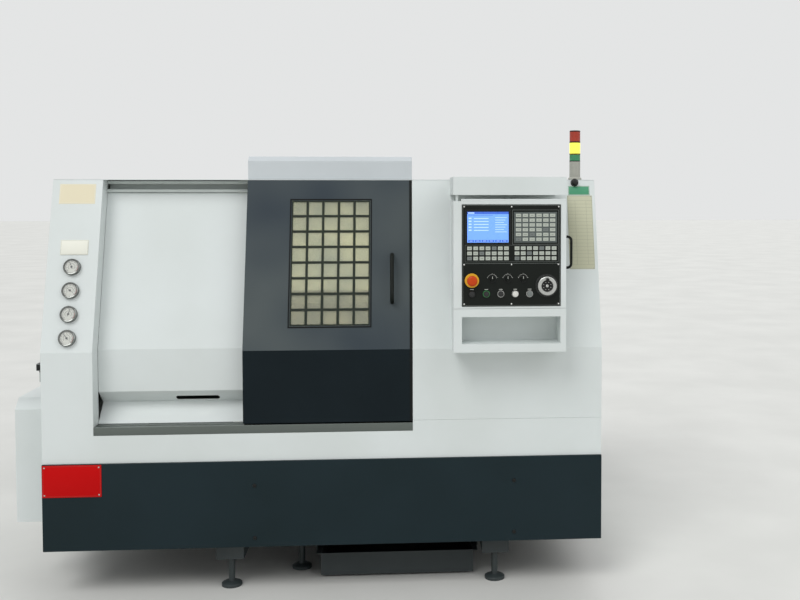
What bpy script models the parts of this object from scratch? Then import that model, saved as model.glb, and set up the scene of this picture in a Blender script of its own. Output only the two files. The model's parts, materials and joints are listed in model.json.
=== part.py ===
"""A slant-bed CNC turning lathe with its enclosure, sliding door and swinging control box.

Lengths are in metres. Places are measured from the lower front left corner of the enclosure:
x to the right along the front, y into the depth, z up from the floor. One empty, the datum,
carries everything and puts the origin under the middle of the machine.
"""
import math

import bmesh
import bpy
from mathutils import Matrix, Vector

for old in list(bpy.data.objects):
    bpy.data.objects.remove(old, do_unlink=True)

# Enclosure
BODY_WIDTH = 2.408
BASE_BACK = 1.300
CABINET_GAP = 0.005
CABINET_DEPTH = 0.248
CABINET_FRONT = BASE_BACK + CABINET_GAP
BODY_DEPTH = CABINET_FRONT + CABINET_DEPTH
SKIRT_BOTTOM = 0.207
SKIRT_TOP = 0.581
BREAK_HEIGHT = 1.059
BODY_TOP = 1.795
LEAN_DEPTH = 0.201
LEAN_ANGLE = math.atan2(LEAN_DEPTH, BODY_TOP - BREAK_HEIGHT)
SHEET = 0.003
SEAT = 0.0003
RUNNING = 0.0006

# Sides of a round piece: large, middle and small
LARGE_ROUND = 24
MIDDLE_ROUND = 20
SMALL_ROUND = 16

# Front: left column, door recess, right column
COLUMN_WIDTH = 0.215
CONTROL_COLUMN_WIDTH = 0.832
RECESS_RIGHT = BODY_WIDTH - CONTROL_COLUMN_WIDTH
PANEL_RETURN = 0.080
SEAM_GAP = 0.0012
SKIRT_PROUD = 0.010
SKIRT_RETURN = 0.060

# Door and its tracks
DOOR_WIDTH = 0.731
DOOR_LEFT = RECESS_RIGHT - DOOR_WIDTH
DOOR_BOTTOM = 0.744
DOOR_THICKNESS = 0.060
SIDE_SEAM_RISE = 0.003
SIDE_SEAM_HEIGHT = DOOR_BOTTOM + SIDE_SEAM_RISE
DOOR_TRACK_GAP = 0.007
TRACK_TOP = DOOR_BOTTOM - DOOR_TRACK_GAP
TRACK_HEIGHT = 0.036
TRACK_BOTTOM = TRACK_TOP - TRACK_HEIGHT
TRACK_DEPTH = 0.0675
TRACK_GROOVE = 0.014
TRACK_GROOVE_DEPTH = 0.015
UPPER_TRACK_DROP = 0.0535
UPPER_TRACK_BOTTOM = BODY_TOP - UPPER_TRACK_DROP
UPPER_TRACK_HEIGHT = 0.050
UPPER_TRACK_FRONT = 0.066
UPPER_TRACK_DEPTH = 0.044
HANGER_THICKNESS = 0.018
WINDOW_LEFT_MARGIN = 0.198
WINDOW_LEFT = DOOR_LEFT + WINDOW_LEFT_MARGIN
WINDOW_RIGHT_MARGIN = 0.187
WINDOW_RIGHT = RECESS_RIGHT - WINDOW_RIGHT_MARGIN
WINDOW_BOTTOM = 1.160
WINDOW_TOP_MARGIN = 0.092
WINDOW_TOP = BODY_TOP - WINDOW_TOP_MARGIN
WINDOW_COLUMNS = 5
WINDOW_ROWS = 8
GRILLE_BAR = 0.011
GRILLE_CLEARANCE = 0.0012
GLASS = 0.006
GLASS_LAP = 0.013
DOOR_HANDLE_INSET = 0.089
DOOR_HANDLE_X = RECESS_RIGHT - DOOR_HANDLE_INSET
DOOR_HANDLE_BOTTOM = 1.258
DOOR_HANDLE_LENGTH = 0.204
DOOR_HANDLE_TOP = DOOR_HANDLE_BOTTOM + DOOR_HANDLE_LENGTH
DOOR_HANDLE_REACH = 0.045
DOOR_HANDLE_RADIUS = 0.009

# Fixed guard behind the door
TRACK_PLAY = 0.0015
GUARD_TOP = UPPER_TRACK_BOTTOM - TRACK_PLAY
GUARD_BOTTOM = 0.875
GUARD_RETURN_Y = 0.150
GUARD_RETURN_HEIGHT = 0.818
GUARD_SILL_Y = 0.068
GUARD_BACK = 0.160
OPENING_LAP = 0.016
OPENING_LEFT = DOOR_LEFT + OPENING_LAP
OPENING_RIGHT = RECESS_RIGHT - OPENING_LAP
OPENING_BOTTOM = 0.880
OPENING_TOP_LAP = 0.040
OPENING_TOP = GUARD_TOP - OPENING_TOP_LAP
SLOT_LEFT = 0.536
SLOT_LENGTH = 0.189
SLOT_RIGHT = SLOT_LEFT + SLOT_LENGTH
SLOT_HEIGHT = 0.020

# Roof hood over the door
HOOD_DEPTH = 0.700
HOOD_HEIGHT = 0.103
HOOD_SETBACK = 0.012
HOOD_CHAMFER = 0.020

# Side, rear and roof openings
ACCESS_FRONT = 0.312
ACCESS_BACK = 1.030
ACCESS_BOTTOM = 0.860
ACCESS_HEADROOM = 0.125
ACCESS_TOP = BODY_TOP - ACCESS_HEADROOM
ACCESS_DOOR_DEPTH = 0.020
DOOR_CLEARANCE = 0.0015
HINGE_RADIUS = 0.0065
HINGE_KNUCKLE = 0.030
HINGE_LEAF = 0.030
HINGE_LEAF_THICKNESS = 0.002
LATCH_WIDTH = 0.022
LATCH_HEIGHT = 0.052
LATCH_PROUD = 0.006
LATCH_INSET = 0.050
CABINET_WIDTH = 1.100
CABINET_INSET = 0.308
CABINET_RIGHT = BODY_WIDTH - CABINET_INSET
CABINET_LEFT = CABINET_RIGHT - CABINET_WIDTH
CABINET_BOTTOM = 0.650
CABINET_HEADROOM = 0.145
CABINET_TOP = BODY_TOP - CABINET_HEADROOM
CABINET_DOOR_LAP = 0.015
CABINET_DOOR_DEPTH = 0.020

# Filter grilles on the cabinet door: a frame round a row of slots
FILTER_SIZE = 0.240
FILTER_PROUD = 0.012
FILTER_MARGIN = 0.150
FILTER_BORDER = 0.022
FILTER_SLOTS = 7
FILTER_SLOT_SHARE = 0.45

# Air service unit on the left side: a block on a bracket with a knob and two bowls
AIR_FRONT = 0.110
AIR_LENGTH = 0.140
AIR_BOTTOM = 0.965
AIR_HEIGHT = 0.030
AIR_STAND_OFF = 0.014
AIR_DEPTH = 0.042
AIR_BOWL_RADIUS = 0.018
AIR_BOWL_LENGTH = 0.060
AIR_KNOB_RADIUS = 0.014
AIR_KNOB_HEIGHT = 0.022

# Louvred cover over the spindle motor on the left side
COVER_REACH = 0.160
COVER_FRONT = 0.141
COVER_BACK = 0.458
COVER_BOTTOM = 0.293
COVER_SHOULDER = 0.790
COVER_TOP = 0.835
COVER_CHAMFER = 0.049
LOUVRE_COLUMNS = 2
LOUVRE_ROWS = 10
LOUVRE_LENGTH = 0.100
LOUVRE_HEIGHT = 0.016
LOUVRE_PROUD = 0.008
LOUVRE_PITCH = 0.038
LOUVRE_COLUMN_PITCH = 0.130

# Gauges down the left column
GAUGE_X = 0.109
GAUGE_RISE = 0.357
GAUGE_TOP_Z = BREAK_HEIGHT + GAUGE_RISE
GAUGE_PITCH = 0.0993
GAUGE_COUNT = 4
GAUGE_RADIUS = 0.036
GAUGE_PROUD = 0.018

# Control housing: hood above, tray below, swinging box between them
HOUSING_INSET = 0.181
HOUSING_RIGHT = BODY_WIDTH - HOUSING_INSET
HOUSING_WIDTH = 0.480
HOUSING_LEFT = HOUSING_RIGHT - HOUSING_WIDTH
HOUSING_FRONT = -0.139
HOUSING_RISE = 0.011
HOUSING_TOP = BODY_TOP + HOUSING_RISE
HOUSING_HEIGHT = 0.744
HOUSING_BOTTOM = HOUSING_TOP - HOUSING_HEIGHT
VISOR_HEIGHT = 0.077
VISOR_BOTTOM = HOUSING_TOP - VISOR_HEIGHT
TRAY_HEIGHT = 0.1855
TRAY_TOP = HOUSING_BOTTOM + TRAY_HEIGHT
TRAY_LEFT_MARGIN = 0.036
TRAY_LEFT = HOUSING_LEFT + TRAY_LEFT_MARGIN
TRAY_RIGHT_MARGIN = 0.024
TRAY_RIGHT = HOUSING_RIGHT - TRAY_RIGHT_MARGIN
POCKET_SILL = 0.036
POCKET_BOTTOM = HOUSING_BOTTOM + POCKET_SILL
POCKET_HEIGHT = 0.115
POCKET_TOP = POCKET_BOTTOM + POCKET_HEIGHT
POCKET_DEPTH = 0.118
BOX_SWING_GAP = 0.0012
BOX_BOTTOM = TRAY_TOP + BOX_SWING_GAP
BOX_HEADROOM = 0.0257
BOX_TOP = VISOR_BOTTOM - BOX_HEADROOM
BOX_BACK_GAP = 0.0118
BOX_CAVITY = 0.079
PIVOT_INSET = 0.016
PIVOT_RADIUS = 0.006
PIVOT_ENTRY = 0.012
PIVOT_CLEARANCE = 0.0008

# Control face and what is on it
FACE_MARGIN = 0.036
FACE_LEFT = HOUSING_LEFT + FACE_MARGIN
FACE_WIDTH = 0.420
FACE_RIGHT = FACE_LEFT + FACE_WIDTH
FACE_SILL = 0.0093
FACE_BOTTOM = BOX_BOTTOM + FACE_SILL
FACE_HEIGHT = 0.431
FACE_TOP = FACE_BOTTOM + FACE_HEIGHT
FACE_THICKNESS = 0.008
FACE_PROUD = 0.002
SCREEN_MARGIN = 0.019
SCREEN_LEFT = FACE_LEFT + SCREEN_MARGIN
SCREEN_WIDTH = 0.182
SCREEN_RIGHT = SCREEN_LEFT + SCREEN_WIDTH
SCREEN_LEVEL = 0.267
SCREEN_BOTTOM = FACE_BOTTOM + SCREEN_LEVEL
SCREEN_HEIGHT = 0.137
SCREEN_TOP = SCREEN_BOTTOM + SCREEN_HEIGHT
SCREEN_SINK = 0.002
KEYPAD_LEFT = SCREEN_RIGHT + SCREEN_MARGIN
KEYPAD_WIDTH = 0.184
KEYPAD_RIGHT = KEYPAD_LEFT + KEYPAD_WIDTH
KEYPAD_LEVEL = 0.269
KEYPAD_BOTTOM = FACE_BOTTOM + KEYPAD_LEVEL
KEYPAD_HEIGHT = 0.131
KEYPAD_TOP = KEYPAD_BOTTOM + KEYPAD_HEIGHT
KEYPAD_COLUMNS = 6
KEYPAD_ROWS = 6
KEY_GAP = 0.005
KEY_RISE = 0.0015
SOFT_KEY_LEVEL = 0.193
SOFT_KEY_BOTTOM = FACE_BOTTOM + SOFT_KEY_LEVEL
SOFT_KEY_BAND = 0.064
SOFT_KEY_TOP = SOFT_KEY_BOTTOM + SOFT_KEY_BAND
SOFT_KEY_ROWS = 3
SOFT_KEY_COLUMNS = 7
SOFT_KEY_RISE = 0.0012
ESTOP_INSET = 0.042
ESTOP_X = FACE_LEFT + ESTOP_INSET
ESTOP_LEVEL = 0.110
ESTOP_Z = FACE_BOTTOM + ESTOP_LEVEL
ESTOP_RADIUS = 0.022
ESTOP_HEIGHT = 0.026
ESTOP_COLLAR_RADIUS = 0.029
ESTOP_COLLAR_HEIGHT = 0.005
ESTOP_TRAVEL = 0.004
STEM_RADIUS = 0.009
STEM_LENGTH = 0.018
SELECTOR_INSET = 0.128
SELECTOR_X = FACE_LEFT + SELECTOR_INSET
SELECTOR_PITCH = 0.0655
SELECTOR_COUNT = 3
SELECTOR_LEVEL = 0.117
SELECTOR_Z = FACE_BOTTOM + SELECTOR_LEVEL
SELECTOR_RADIUS = 0.013
SELECTOR_HEIGHT = 0.016
BUTTON_X = ESTOP_X
BUTTON_PITCH = 0.06125
BUTTON_COUNT = 5
BUTTON_LEVEL = 0.053
BUTTON_Z = FACE_BOTTOM + BUTTON_LEVEL
BUTTON_RADIUS = 0.0115
BUTTON_HEIGHT = 0.009
BUTTON_TRAVEL = 0.003
HANDWHEEL_INSET = 0.060
HANDWHEEL_X = FACE_RIGHT - HANDWHEEL_INSET
HANDWHEEL_LEVEL = 0.087
HANDWHEEL_Z = FACE_BOTTOM + HANDWHEEL_LEVEL
HANDWHEEL_RADIUS = 0.040
HANDWHEEL_HEIGHT = 0.022
HANDWHEEL_GRIP_HEIGHT = 0.024
PANEL_HANDLE_Y = -0.060
PANEL_HANDLE_LEVEL = 0.157
PANEL_HANDLE_BOTTOM = FACE_BOTTOM + PANEL_HANDLE_LEVEL
PANEL_HANDLE_LENGTH = 0.134
PANEL_HANDLE_TOP = PANEL_HANDLE_BOTTOM + PANEL_HANDLE_LENGTH
PANEL_HANDLE_REACH = 0.034
PANEL_HANDLE_RADIUS = 0.006

# Signal tower on the roof
TOWER_INSET = 0.083
TOWER_X = BODY_WIDTH - TOWER_INSET
TOWER_Y = 0.240
TOWER_RADIUS = 0.025
TOWER_BASE_HEIGHT = 0.087
TOWER_BASE_TOP = BODY_TOP + TOWER_BASE_HEIGHT
LENS_RISES = (0.033, 0.088, 0.142)
LENS_TOPS = tuple(TOWER_BASE_TOP + rise for rise in LENS_RISES)
LENS_JOINT = 0.003

# Slant bed: u runs up the slope, v stands square to it, both from the spindle axis
SPINDLE_Y = 0.500
SPINDLE_Z = 1.050
SLANT = math.radians(45.0)
BED_DROP = 0.300
BED_LOW = -0.360
BED_HIGH = 0.520
BASE_LEFT = 0.320
BASE_INSET = 0.128
BASE_RIGHT = BODY_WIDTH - BASE_INSET
BASE_FRONT = 0.240
BASE_BOTTOM = 0.130
BASE_SHOULDER = 0.500
BASE_SHOULDER_Y = 0.400
SPINE_STEP = 0.140
BED_SPINE_Y = BASE_BACK - SPINE_STEP
BED_SPINE_FOOT = 0.700
RAIL_WIDTH = 0.040
RAIL_HEIGHT = 0.035
RAIL_LEFT = 0.800
RAIL_INSET = 0.030
RAIL_RIGHT = BASE_RIGHT - RAIL_INSET
TAILSTOCK_RAILS = (-0.280, -0.040)
SADDLE_RAILS = (0.100, 0.440)
BED_CLEARANCE = 0.020

# Levelling feet under the base casting
FOOT_FRONT_Y = 0.105
FOOT_MIDDLE_Y = 0.300
FOOT_BACK_SETBACK = 0.080
FOOT_BACK_Y = BASE_BACK - FOOT_BACK_SETBACK
FOOT_FRONT_INSETS = (0.454, 0.337)
FOOT_FRONT_X = (BASE_LEFT + FOOT_FRONT_INSETS[0], BASE_RIGHT - FOOT_FRONT_INSETS[1])
FOOT_MIDDLE_INSET = 0.743
FOOT_MIDDLE_X = BASE_LEFT + FOOT_MIDDLE_INSET
FOOT_BACK_INSETS = (0.130, 0.100)
FOOT_BACK_X = (BASE_LEFT + FOOT_BACK_INSETS[0], (BASE_LEFT + BASE_RIGHT) / 2.0,
               BASE_RIGHT - FOOT_BACK_INSETS[1])
FOOT_RADIUS = 0.045
FOOT_PAD = 0.022
FOOT_SCREW_RADIUS = 0.014
LUG_HALF_WIDTH = 0.060

# Coolant tank on runners under the base
TANK_INSET = 0.430
TANK_RIGHT = BASE_RIGHT - TANK_INSET
TANK_WIDTH = 0.690
TANK_LEFT = TANK_RIGHT - TANK_WIDTH
TANK_FRONT = 0.160
TANK_BACK = 1.100
TANK_BOTTOM = 0.012
TANK_TOP = 0.112
TANK_FLANGE = 0.020
RUNNER_THICKNESS = 0.004
RUNNER_PLAY = 0.001

# Chamber lining
LINER_LEFT = 0.775
LINER_INSET = 0.020
LINER_RIGHT = BASE_RIGHT - LINER_INSET
LINER_FRONT = 0.165
LINER_FLOOR = 0.600
LINER_SETBACK = 0.180
LINER_BACK = BASE_BACK - LINER_SETBACK
LINER_HEADROOM = 0.015
LINER_TOP = BODY_TOP - LINER_HEADROOM
LINER_HOLE_RADIUS = 0.075

# Headstock, spindle, chuck
HEADSTOCK_LEFT = 0.400
HEADSTOCK_RIGHT = 0.765
HEADSTOCK_FOOT = 0.200
HEADSTOCK_RADIUS = 0.140
SPINDLE_RADIUS = 0.055
SPINDLE_TAIL_RADIUS = 0.040
SPINDLE_BORE = 0.026
SPINDLE_END = 0.045
SPINDLE_NOSE = 0.800
NOSE_RADIUS = 0.065
NOSE_THICKNESS = 0.018
CHUCK_RADIUS = 0.105
CHUCK_LENGTH = 0.085
JAW_COUNT = 3
JAW_WIDTH = 0.036
JAW_INNER = 0.032
JAW_OUTER = 0.096
JAW_STEP = 0.066
JAW_SINK = 0.018
JAW_PROUD = 0.024
JAW_TIP = 0.046
JAW_SLOT_END = 0.029

# Spindle motor, pulleys and belt
MOTOR_Y = 0.300
MOTOR_Z = 0.550
MOTOR_RADIUS = 0.100
MOTOR_LEFT = -0.135
MOTOR_FLANGE_X = 0.030
MOTOR_FLANGE = 0.012
MOTOR_FLANGE_HALF = 0.115
MOTOR_SHELF_BOTTOM = 0.405
MOTOR_SHELF = 0.020
MOTOR_HOLE_RADIUS = 0.112
PULLEY_LEFT = 0.053
PULLEY_RIGHT = 0.107
PULLEY_RIM = 0.006
PULLEY_RIM_HEIGHT = 0.012
MOTOR_PULLEY_RADIUS = 0.060
SPINDLE_PULLEY_RADIUS = 0.090
BELT_THICKNESS = 0.006
MOTOR_SHAFT_RADIUS = 0.019

# Saddle, cross slide and turret
SADDLE_LEFT = 1.420
SADDLE_RIGHT = 1.800
SADDLE_LOW = 0.040
SADDLE_HIGH = 0.500
SADDLE_THICKNESS = 0.060
CROSS_LEFT = 1.545
CROSS_RIGHT = 1.800
CROSS_LOW = 0.220
CROSS_HIGH = 0.500
CROSS_THICKNESS = 0.050
TURRET_U = 0.360
TURRET_LEFT = 1.450
TURRET_THICKNESS = 0.080
TURRET_RADIUS = 0.135
TURRET_STATIONS = 8
TURRET_HUB_RADIUS = 0.050
TURRET_HOUSING_HALF = 0.090
TURRET_HOUSING_TOP = 0.090
HOLDER_WIDTH = 0.050
HOLDER_REACH = 0.165
HOLDER_LENGTH = 0.060
TOOL_WIDTH = 0.020
TOOL_REACH = 0.195

# Tailstock and quill
TAILSTOCK_INSET = 0.045
TAILSTOCK_RIGHT = BASE_RIGHT - TAILSTOCK_INSET
TAILSTOCK_LENGTH = 0.215
TAILSTOCK_LEFT = TAILSTOCK_RIGHT - TAILSTOCK_LENGTH
TAILSTOCK_LOW = -0.330
TAILSTOCK_HIGH = 0.010
TAILSTOCK_BARREL = 0.070
QUILL_RADIUS = 0.030
QUILL_REACH = 0.055
QUILL_LEFT = TAILSTOCK_LEFT - QUILL_REACH
QUILL_POINT = 0.045
QUILL_TIP = QUILL_LEFT - QUILL_POINT
QUILL_TIP_RADIUS = 0.002
QUILL_DEPTH = 0.190

# The whole machine's reach, which puts the origin under its middle
FRONT_REACH = HOUSING_FRONT - FACE_PROUD - HANDWHEEL_HEIGHT - HANDWHEEL_GRIP_HEIGHT
REAR_REACH = BODY_DEPTH + SEAT + CABINET_DOOR_DEPTH + HINGE_RADIUS + HINGE_RADIUS
CENTRE_X = (BODY_WIDTH - COVER_REACH - LOUVRE_PROUD) / 2.0
CENTRE_Y = (FRONT_REACH + REAR_REACH) / 2.0

parts = bpy.data.collections.new("cnc_turning_lathe")
cutters = bpy.data.collections.new("cutters")
bpy.context.scene.collection.children.link(parts)
bpy.context.scene.collection.children.link(cutters)


def new_empty(name, location, parent=None):
    """An empty that stands for a datum or a joint's axis."""
    empty = bpy.data.objects.new(name, None)
    empty.empty_display_size = 0.05
    empty.location = location
    empty.parent = parent
    cutters.objects.link(empty)
    return empty


DATUM = new_empty("machine_datum", (-CENTRE_X, -CENTRE_Y, 0.0))
CARRIERS = {"frame": (DATUM, Vector((0.0, 0.0, 0.0)))}


def add_carrier(name, axis_point, parent="frame"):
    """An empty on a joint's axis; what moves with the joint is parented to it."""
    parent_empty, parent_point = CARRIERS[parent]
    point = Vector(axis_point)
    empty = new_empty(name + "_axis", point - parent_point, parent_empty)
    CARRIERS[name] = (empty, point)


def painted(name, colour, roughness, metallic=0.0):
    material = bpy.data.materials.new(name)
    material.use_nodes = True
    shader = material.node_tree.nodes["Principled BSDF"]
    shader.inputs["Base Color"].default_value = (*colour, 1.0)
    shader.inputs["Roughness"].default_value = roughness
    shader.inputs["Metallic"].default_value = metallic
    return material


WHITE = painted("white_paint", (0.64, 0.70, 0.70), 0.40)
DARK = painted("dark_paint", (0.010, 0.024, 0.028), 0.35)
DOOR_GREY = painted("door_grey", (0.05, 0.065, 0.08), 0.30)
RAIL_GREY = painted("rail_grey", (0.14, 0.16, 0.14), 0.45, 0.6)
CAST = painted("cast_grey", (0.09, 0.11, 0.11), 0.55)
STEEL = painted("ground_steel", (0.55, 0.56, 0.56), 0.28, 1.0)
BLACK = painted("black_plastic", (0.012, 0.013, 0.013), 0.40)
GLASS_TINT = painted("window_glass", (0.28, 0.28, 0.20), 0.12)
SCREEN_BLUE = painted("screen_blue", (0.16, 0.36, 0.88), 0.20)
KEY_GREY = painted("key_grey", (0.23, 0.29, 0.27), 0.50)
KNOB_SILVER = painted("knob_silver", (0.60, 0.61, 0.58), 0.30, 0.8)
ESTOP_RED = painted("estop_red", (0.45, 0.06, 0.02), 0.35)
LENS_RED = painted("lens_red", (0.36, 0.03, 0.02), 0.25)
LENS_YELLOW = painted("lens_yellow", (0.85, 0.80, 0.08), 0.25)
LENS_GREEN = painted("lens_green", (0.05, 0.20, 0.08), 0.25)
RUBBER = painted("belt_rubber", (0.015, 0.015, 0.015), 0.80)
DIAL = painted("gauge_dial", (0.55, 0.56, 0.52), 0.30, 0.4)


def lean(z):
    """How far back the front face lies at a height."""
    if z <= BREAK_HEIGHT:
        return 0.0
    return LEAN_DEPTH * (z - BREAK_HEIGHT) / (BODY_TOP - BREAK_HEIGHT)


# The swinging box stops short of the leaning face at its own foot
BOX_BACK = lean(BOX_BOTTOM) - BOX_BACK_GAP
OUTWARD = Vector((0.0, -math.cos(LEAN_ANGLE), math.sin(LEAN_ANGLE)))


def bed_point(u, v):
    """A point beside the spindle axis, in the slant bed's own directions, as (y, z)."""
    return (SPINDLE_Y + u * math.cos(SLANT) - v * math.sin(SLANT),
            SPINDLE_Z + u * math.sin(SLANT) + v * math.cos(SLANT))


def mesh_object(name, mesh, collection=cutters):
    obj = bpy.data.objects.new(name, mesh)
    collection.objects.link(obj)
    return obj


def from_bmesh(name, bm):
    bmesh.ops.recalc_face_normals(bm, faces=bm.faces)
    mesh = bpy.data.meshes.new(name)
    bm.to_mesh(mesh)
    bm.free()
    return mesh_object(name, mesh)


def settle(obj):
    """Applies an object's modifiers to its mesh."""
    bpy.context.view_layer.update()
    graph = bpy.context.evaluated_depsgraph_get()
    mesh = bpy.data.meshes.new_from_object(obj.evaluated_get(graph))
    obj.modifiers.clear()
    obj.data = mesh
    bm = bmesh.new()
    bm.from_mesh(mesh)
    bmesh.ops.remove_doubles(bm, verts=bm.verts, dist=1e-6)
    bmesh.ops.recalc_face_normals(bm, faces=bm.faces)
    bm.to_mesh(mesh)
    bm.free()
    return obj


def block(low, high):
    """A box between two corners."""
    bm = bmesh.new()
    size = Vector(high) - Vector(low)
    middle = (Vector(high) + Vector(low)) / 2.0
    transform = Matrix.Translation(middle) @ Matrix.Diagonal((*size, 1.0))
    bmesh.ops.create_cube(bm, size=1.0, matrix=transform)
    return from_bmesh("block", bm)


def rod(start, end, radius, sides=LARGE_ROUND):
    """A cylinder between two points."""
    bm = bmesh.new()
    start, end = Vector(start), Vector(end)
    run = end - start
    turn = run.to_track_quat("Z", "Y").to_matrix().to_4x4()
    place = Matrix.Translation((start + end) / 2.0) @ turn
    bmesh.ops.create_cone(bm, cap_ends=True, segments=sides, radius1=radius, radius2=radius,
                          depth=run.length, matrix=place)
    return from_bmesh("rod", bm)


def outline_solid(outline, thickness, frame):
    """A flat closed outline given thickness, placed by a matrix."""
    curve = bpy.data.curves.new("outline", "CURVE")
    curve.dimensions = "2D"
    curve.fill_mode = "BOTH"
    curve.extrude = thickness / 2.0
    spline = curve.splines.new("POLY")
    spline.points.add(len(outline) - 1)
    for point, (a, b) in zip(spline.points, outline):
        point.co = (a, b, 0.0, 1.0)
    spline.use_cyclic_u = True
    source = mesh_object("outline", curve)
    bpy.context.view_layer.update()
    graph = bpy.context.evaluated_depsgraph_get()
    mesh = bpy.data.meshes.new_from_object(source.evaluated_get(graph))
    bpy.data.objects.remove(source, do_unlink=True)
    bm = bmesh.new()
    bm.from_mesh(mesh)
    bmesh.ops.remove_doubles(bm, verts=bm.verts, dist=1e-6)
    bmesh.ops.dissolve_limit(bm, angle_limit=math.radians(0.5), verts=bm.verts, edges=bm.edges)
    bmesh.ops.transform(bm, matrix=frame, verts=bm.verts)
    return from_bmesh("outline_solid", bm)


def along_x(outline, left, right):
    """A (y, z) outline drawn out along x."""
    frame = Matrix(((0, 0, 1, (left + right) / 2.0), (1, 0, 0, 0), (0, 1, 0, 0), (0, 0, 0, 1)))
    return outline_solid(outline, right - left, frame)


def along_y(outline, front, back):
    """An (x, z) outline drawn out along y."""
    frame = Matrix(((1, 0, 0, 0), (0, 0, -1, (front + back) / 2.0), (0, 1, 0, 0), (0, 0, 0, 1)))
    return outline_solid(outline, back - front, frame)


def slab(left, right, bottom, top, front, back):
    """A plate that follows the front's fold, between two depths behind the front face."""
    ahead = [(lean(bottom) + front, bottom)]
    behind = [(lean(bottom) + back, bottom)]
    if bottom < BREAK_HEIGHT < top:
        ahead.append((front, BREAK_HEIGHT))
        behind.append((back, BREAK_HEIGHT))
    ahead.append((lean(top) + front, top))
    behind.append((lean(top) + back, top))
    return along_x(ahead + behind[::-1], left, right)


def turned(profile, sides, frame):
    """A closed (radius, height) profile turned about its own z axis and placed by a matrix."""
    bm = bmesh.new()
    points = [bm.verts.new((radius, 0.0, height)) for radius, height in profile]
    for index, point in enumerate(points):
        following = points[(index + 1) % len(points)]
        if point.co.x > 1e-9 or following.co.x > 1e-9:
            bm.edges.new((point, following))
    mesh = bpy.data.meshes.new("turned")
    bm.to_mesh(mesh)
    bm.free()
    obj = mesh_object("turned", mesh)
    screw = obj.modifiers.new("screw", "SCREW")
    screw.steps = sides
    screw.render_steps = sides
    screw.use_merge_vertices = True
    screw.merge_threshold = 0.00001
    settle(obj)
    obj.data.transform(frame)
    return obj


def facing(direction, location):
    """A matrix that stands a turned shape's z axis along a direction."""
    turn = Vector(direction).to_track_quat("Z", "Y").to_matrix().to_4x4()
    return Matrix.Translation(Vector(location)) @ turn


def combine(obj, others, operation):
    """Joins solids to an object, or cuts them from it."""
    for other in others:
        modifier = obj.modifiers.new(operation, "BOOLEAN")
        modifier.operation = operation
        modifier.solver = "EXACT"
        modifier.object = other
        settle(obj)
        bpy.data.objects.remove(other, do_unlink=True)
    return obj


def join(obj, *others):
    return combine(obj, others, "UNION")


def cut(obj, *others):
    return combine(obj, others, "DIFFERENCE")


def gather(solids):
    """Several separate solids as one object, to cut or join them in one go."""
    bm = bmesh.new()
    for solid in solids:
        bm.from_mesh(solid.data)
        bpy.data.objects.remove(solid, do_unlink=True)
    return from_bmesh("gathered", bm)


def open_shell(obj, is_open, thickness=SHEET):
    """Takes the faces whose normal is_open accepts off a solid and leaves walls of sheet."""
    bm = bmesh.new()
    bm.from_mesh(obj.data)
    open_faces = [face for face in bm.faces if is_open(face.normal)]
    bmesh.ops.delete(bm, geom=open_faces, context="FACES")
    bm.to_mesh(obj.data)
    bm.free()
    wall = obj.modifiers.new("wall", "SOLIDIFY")
    wall.thickness = thickness
    wall.offset = -1.0
    wall.use_even_offset = True
    return settle(obj)


def opens_back(normal):
    return normal.y > 0.5


def tube(points, radius, sides_level=2):
    """A round bar along a smooth route, with closed ends."""
    curve = bpy.data.curves.new("tube", "CURVE")
    curve.dimensions = "3D"
    curve.bevel_depth = radius
    curve.bevel_resolution = sides_level
    curve.use_fill_caps = True
    spline = curve.splines.new("POLY")
    spline.points.add(len(points) - 1)
    for point, place in zip(spline.points, points):
        point.co = (*place, 1.0)
    source = mesh_object("tube", curve)
    bpy.context.view_layer.update()
    graph = bpy.context.evaluated_depsgraph_get()
    mesh = bpy.data.meshes.new_from_object(source.evaluated_get(graph))
    bpy.data.objects.remove(source, do_unlink=True)
    bm = bmesh.new()
    bm.from_mesh(mesh)
    bmesh.ops.remove_doubles(bm, verts=bm.verts, dist=1e-6)
    return from_bmesh("tube", bm)


def arc(centre, radius, start_degrees, end_degrees, steps):
    """Points on an arc, both ends included."""
    sweep = end_degrees - start_degrees
    angles = [math.radians(start_degrees + sweep * step / steps) for step in range(steps + 1)]
    return [(centre[0] + radius * math.cos(a), centre[1] + radius * math.sin(a)) for a in angles]


def grip_route(low, high, stand_off, bend, steps=4):
    """A D-shaped grip as (along, out) points from one foot to the other."""
    first = arc((low + bend, stand_off - bend), bend, 180.0, 90.0, steps)
    last = arc((high - bend, stand_off - bend), bend, 90.0, 0.0, steps)
    return [(low, 0.0)] + first + last + [(high, 0.0)]


def name_part(obj, name, material, carrier="frame", smooth_angle=30.0):
    """Names a finished solid, gives it its material and hangs it on what carries it."""
    empty, point = CARRIERS[carrier]
    obj.name = name
    obj.data.name = name
    obj.data.materials.clear()
    obj.data.materials.append(material)
    obj.data.transform(Matrix.Translation(-point))
    obj.parent = empty
    cutters.objects.unlink(obj)
    parts.objects.link(obj)
    obj.data.shade_smooth()
    obj.data.set_sharp_from_angle(angle=math.radians(smooth_angle))
    return obj


def make_front_panels():
    bottom = SKIRT_TOP + SEAT
    column = slab(0.0, COLUMN_WIDTH, bottom, BODY_TOP, 0.0, PANEL_RETURN)
    band = slab(0.0, RECESS_RIGHT, bottom, TRACK_BOTTOM - SEAT, 0.0, PANEL_RETURN)
    right_end = slab(RECESS_RIGHT - SEAT, BODY_WIDTH, bottom, SIDE_SEAM_HEIGHT - SEAT, 0.0, PANEL_RETURN)
    left_panel = join(column, band, right_end)
    open_shell(left_panel, opens_back)
    name_part(left_panel, "front_panel_left", WHITE)
    right_panel = slab(RECESS_RIGHT, BODY_WIDTH, SIDE_SEAM_HEIGHT, BODY_TOP, 0.0, PANEL_RETURN)
    open_shell(right_panel, opens_back)
    name_part(right_panel, "front_panel_right", WHITE)


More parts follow.
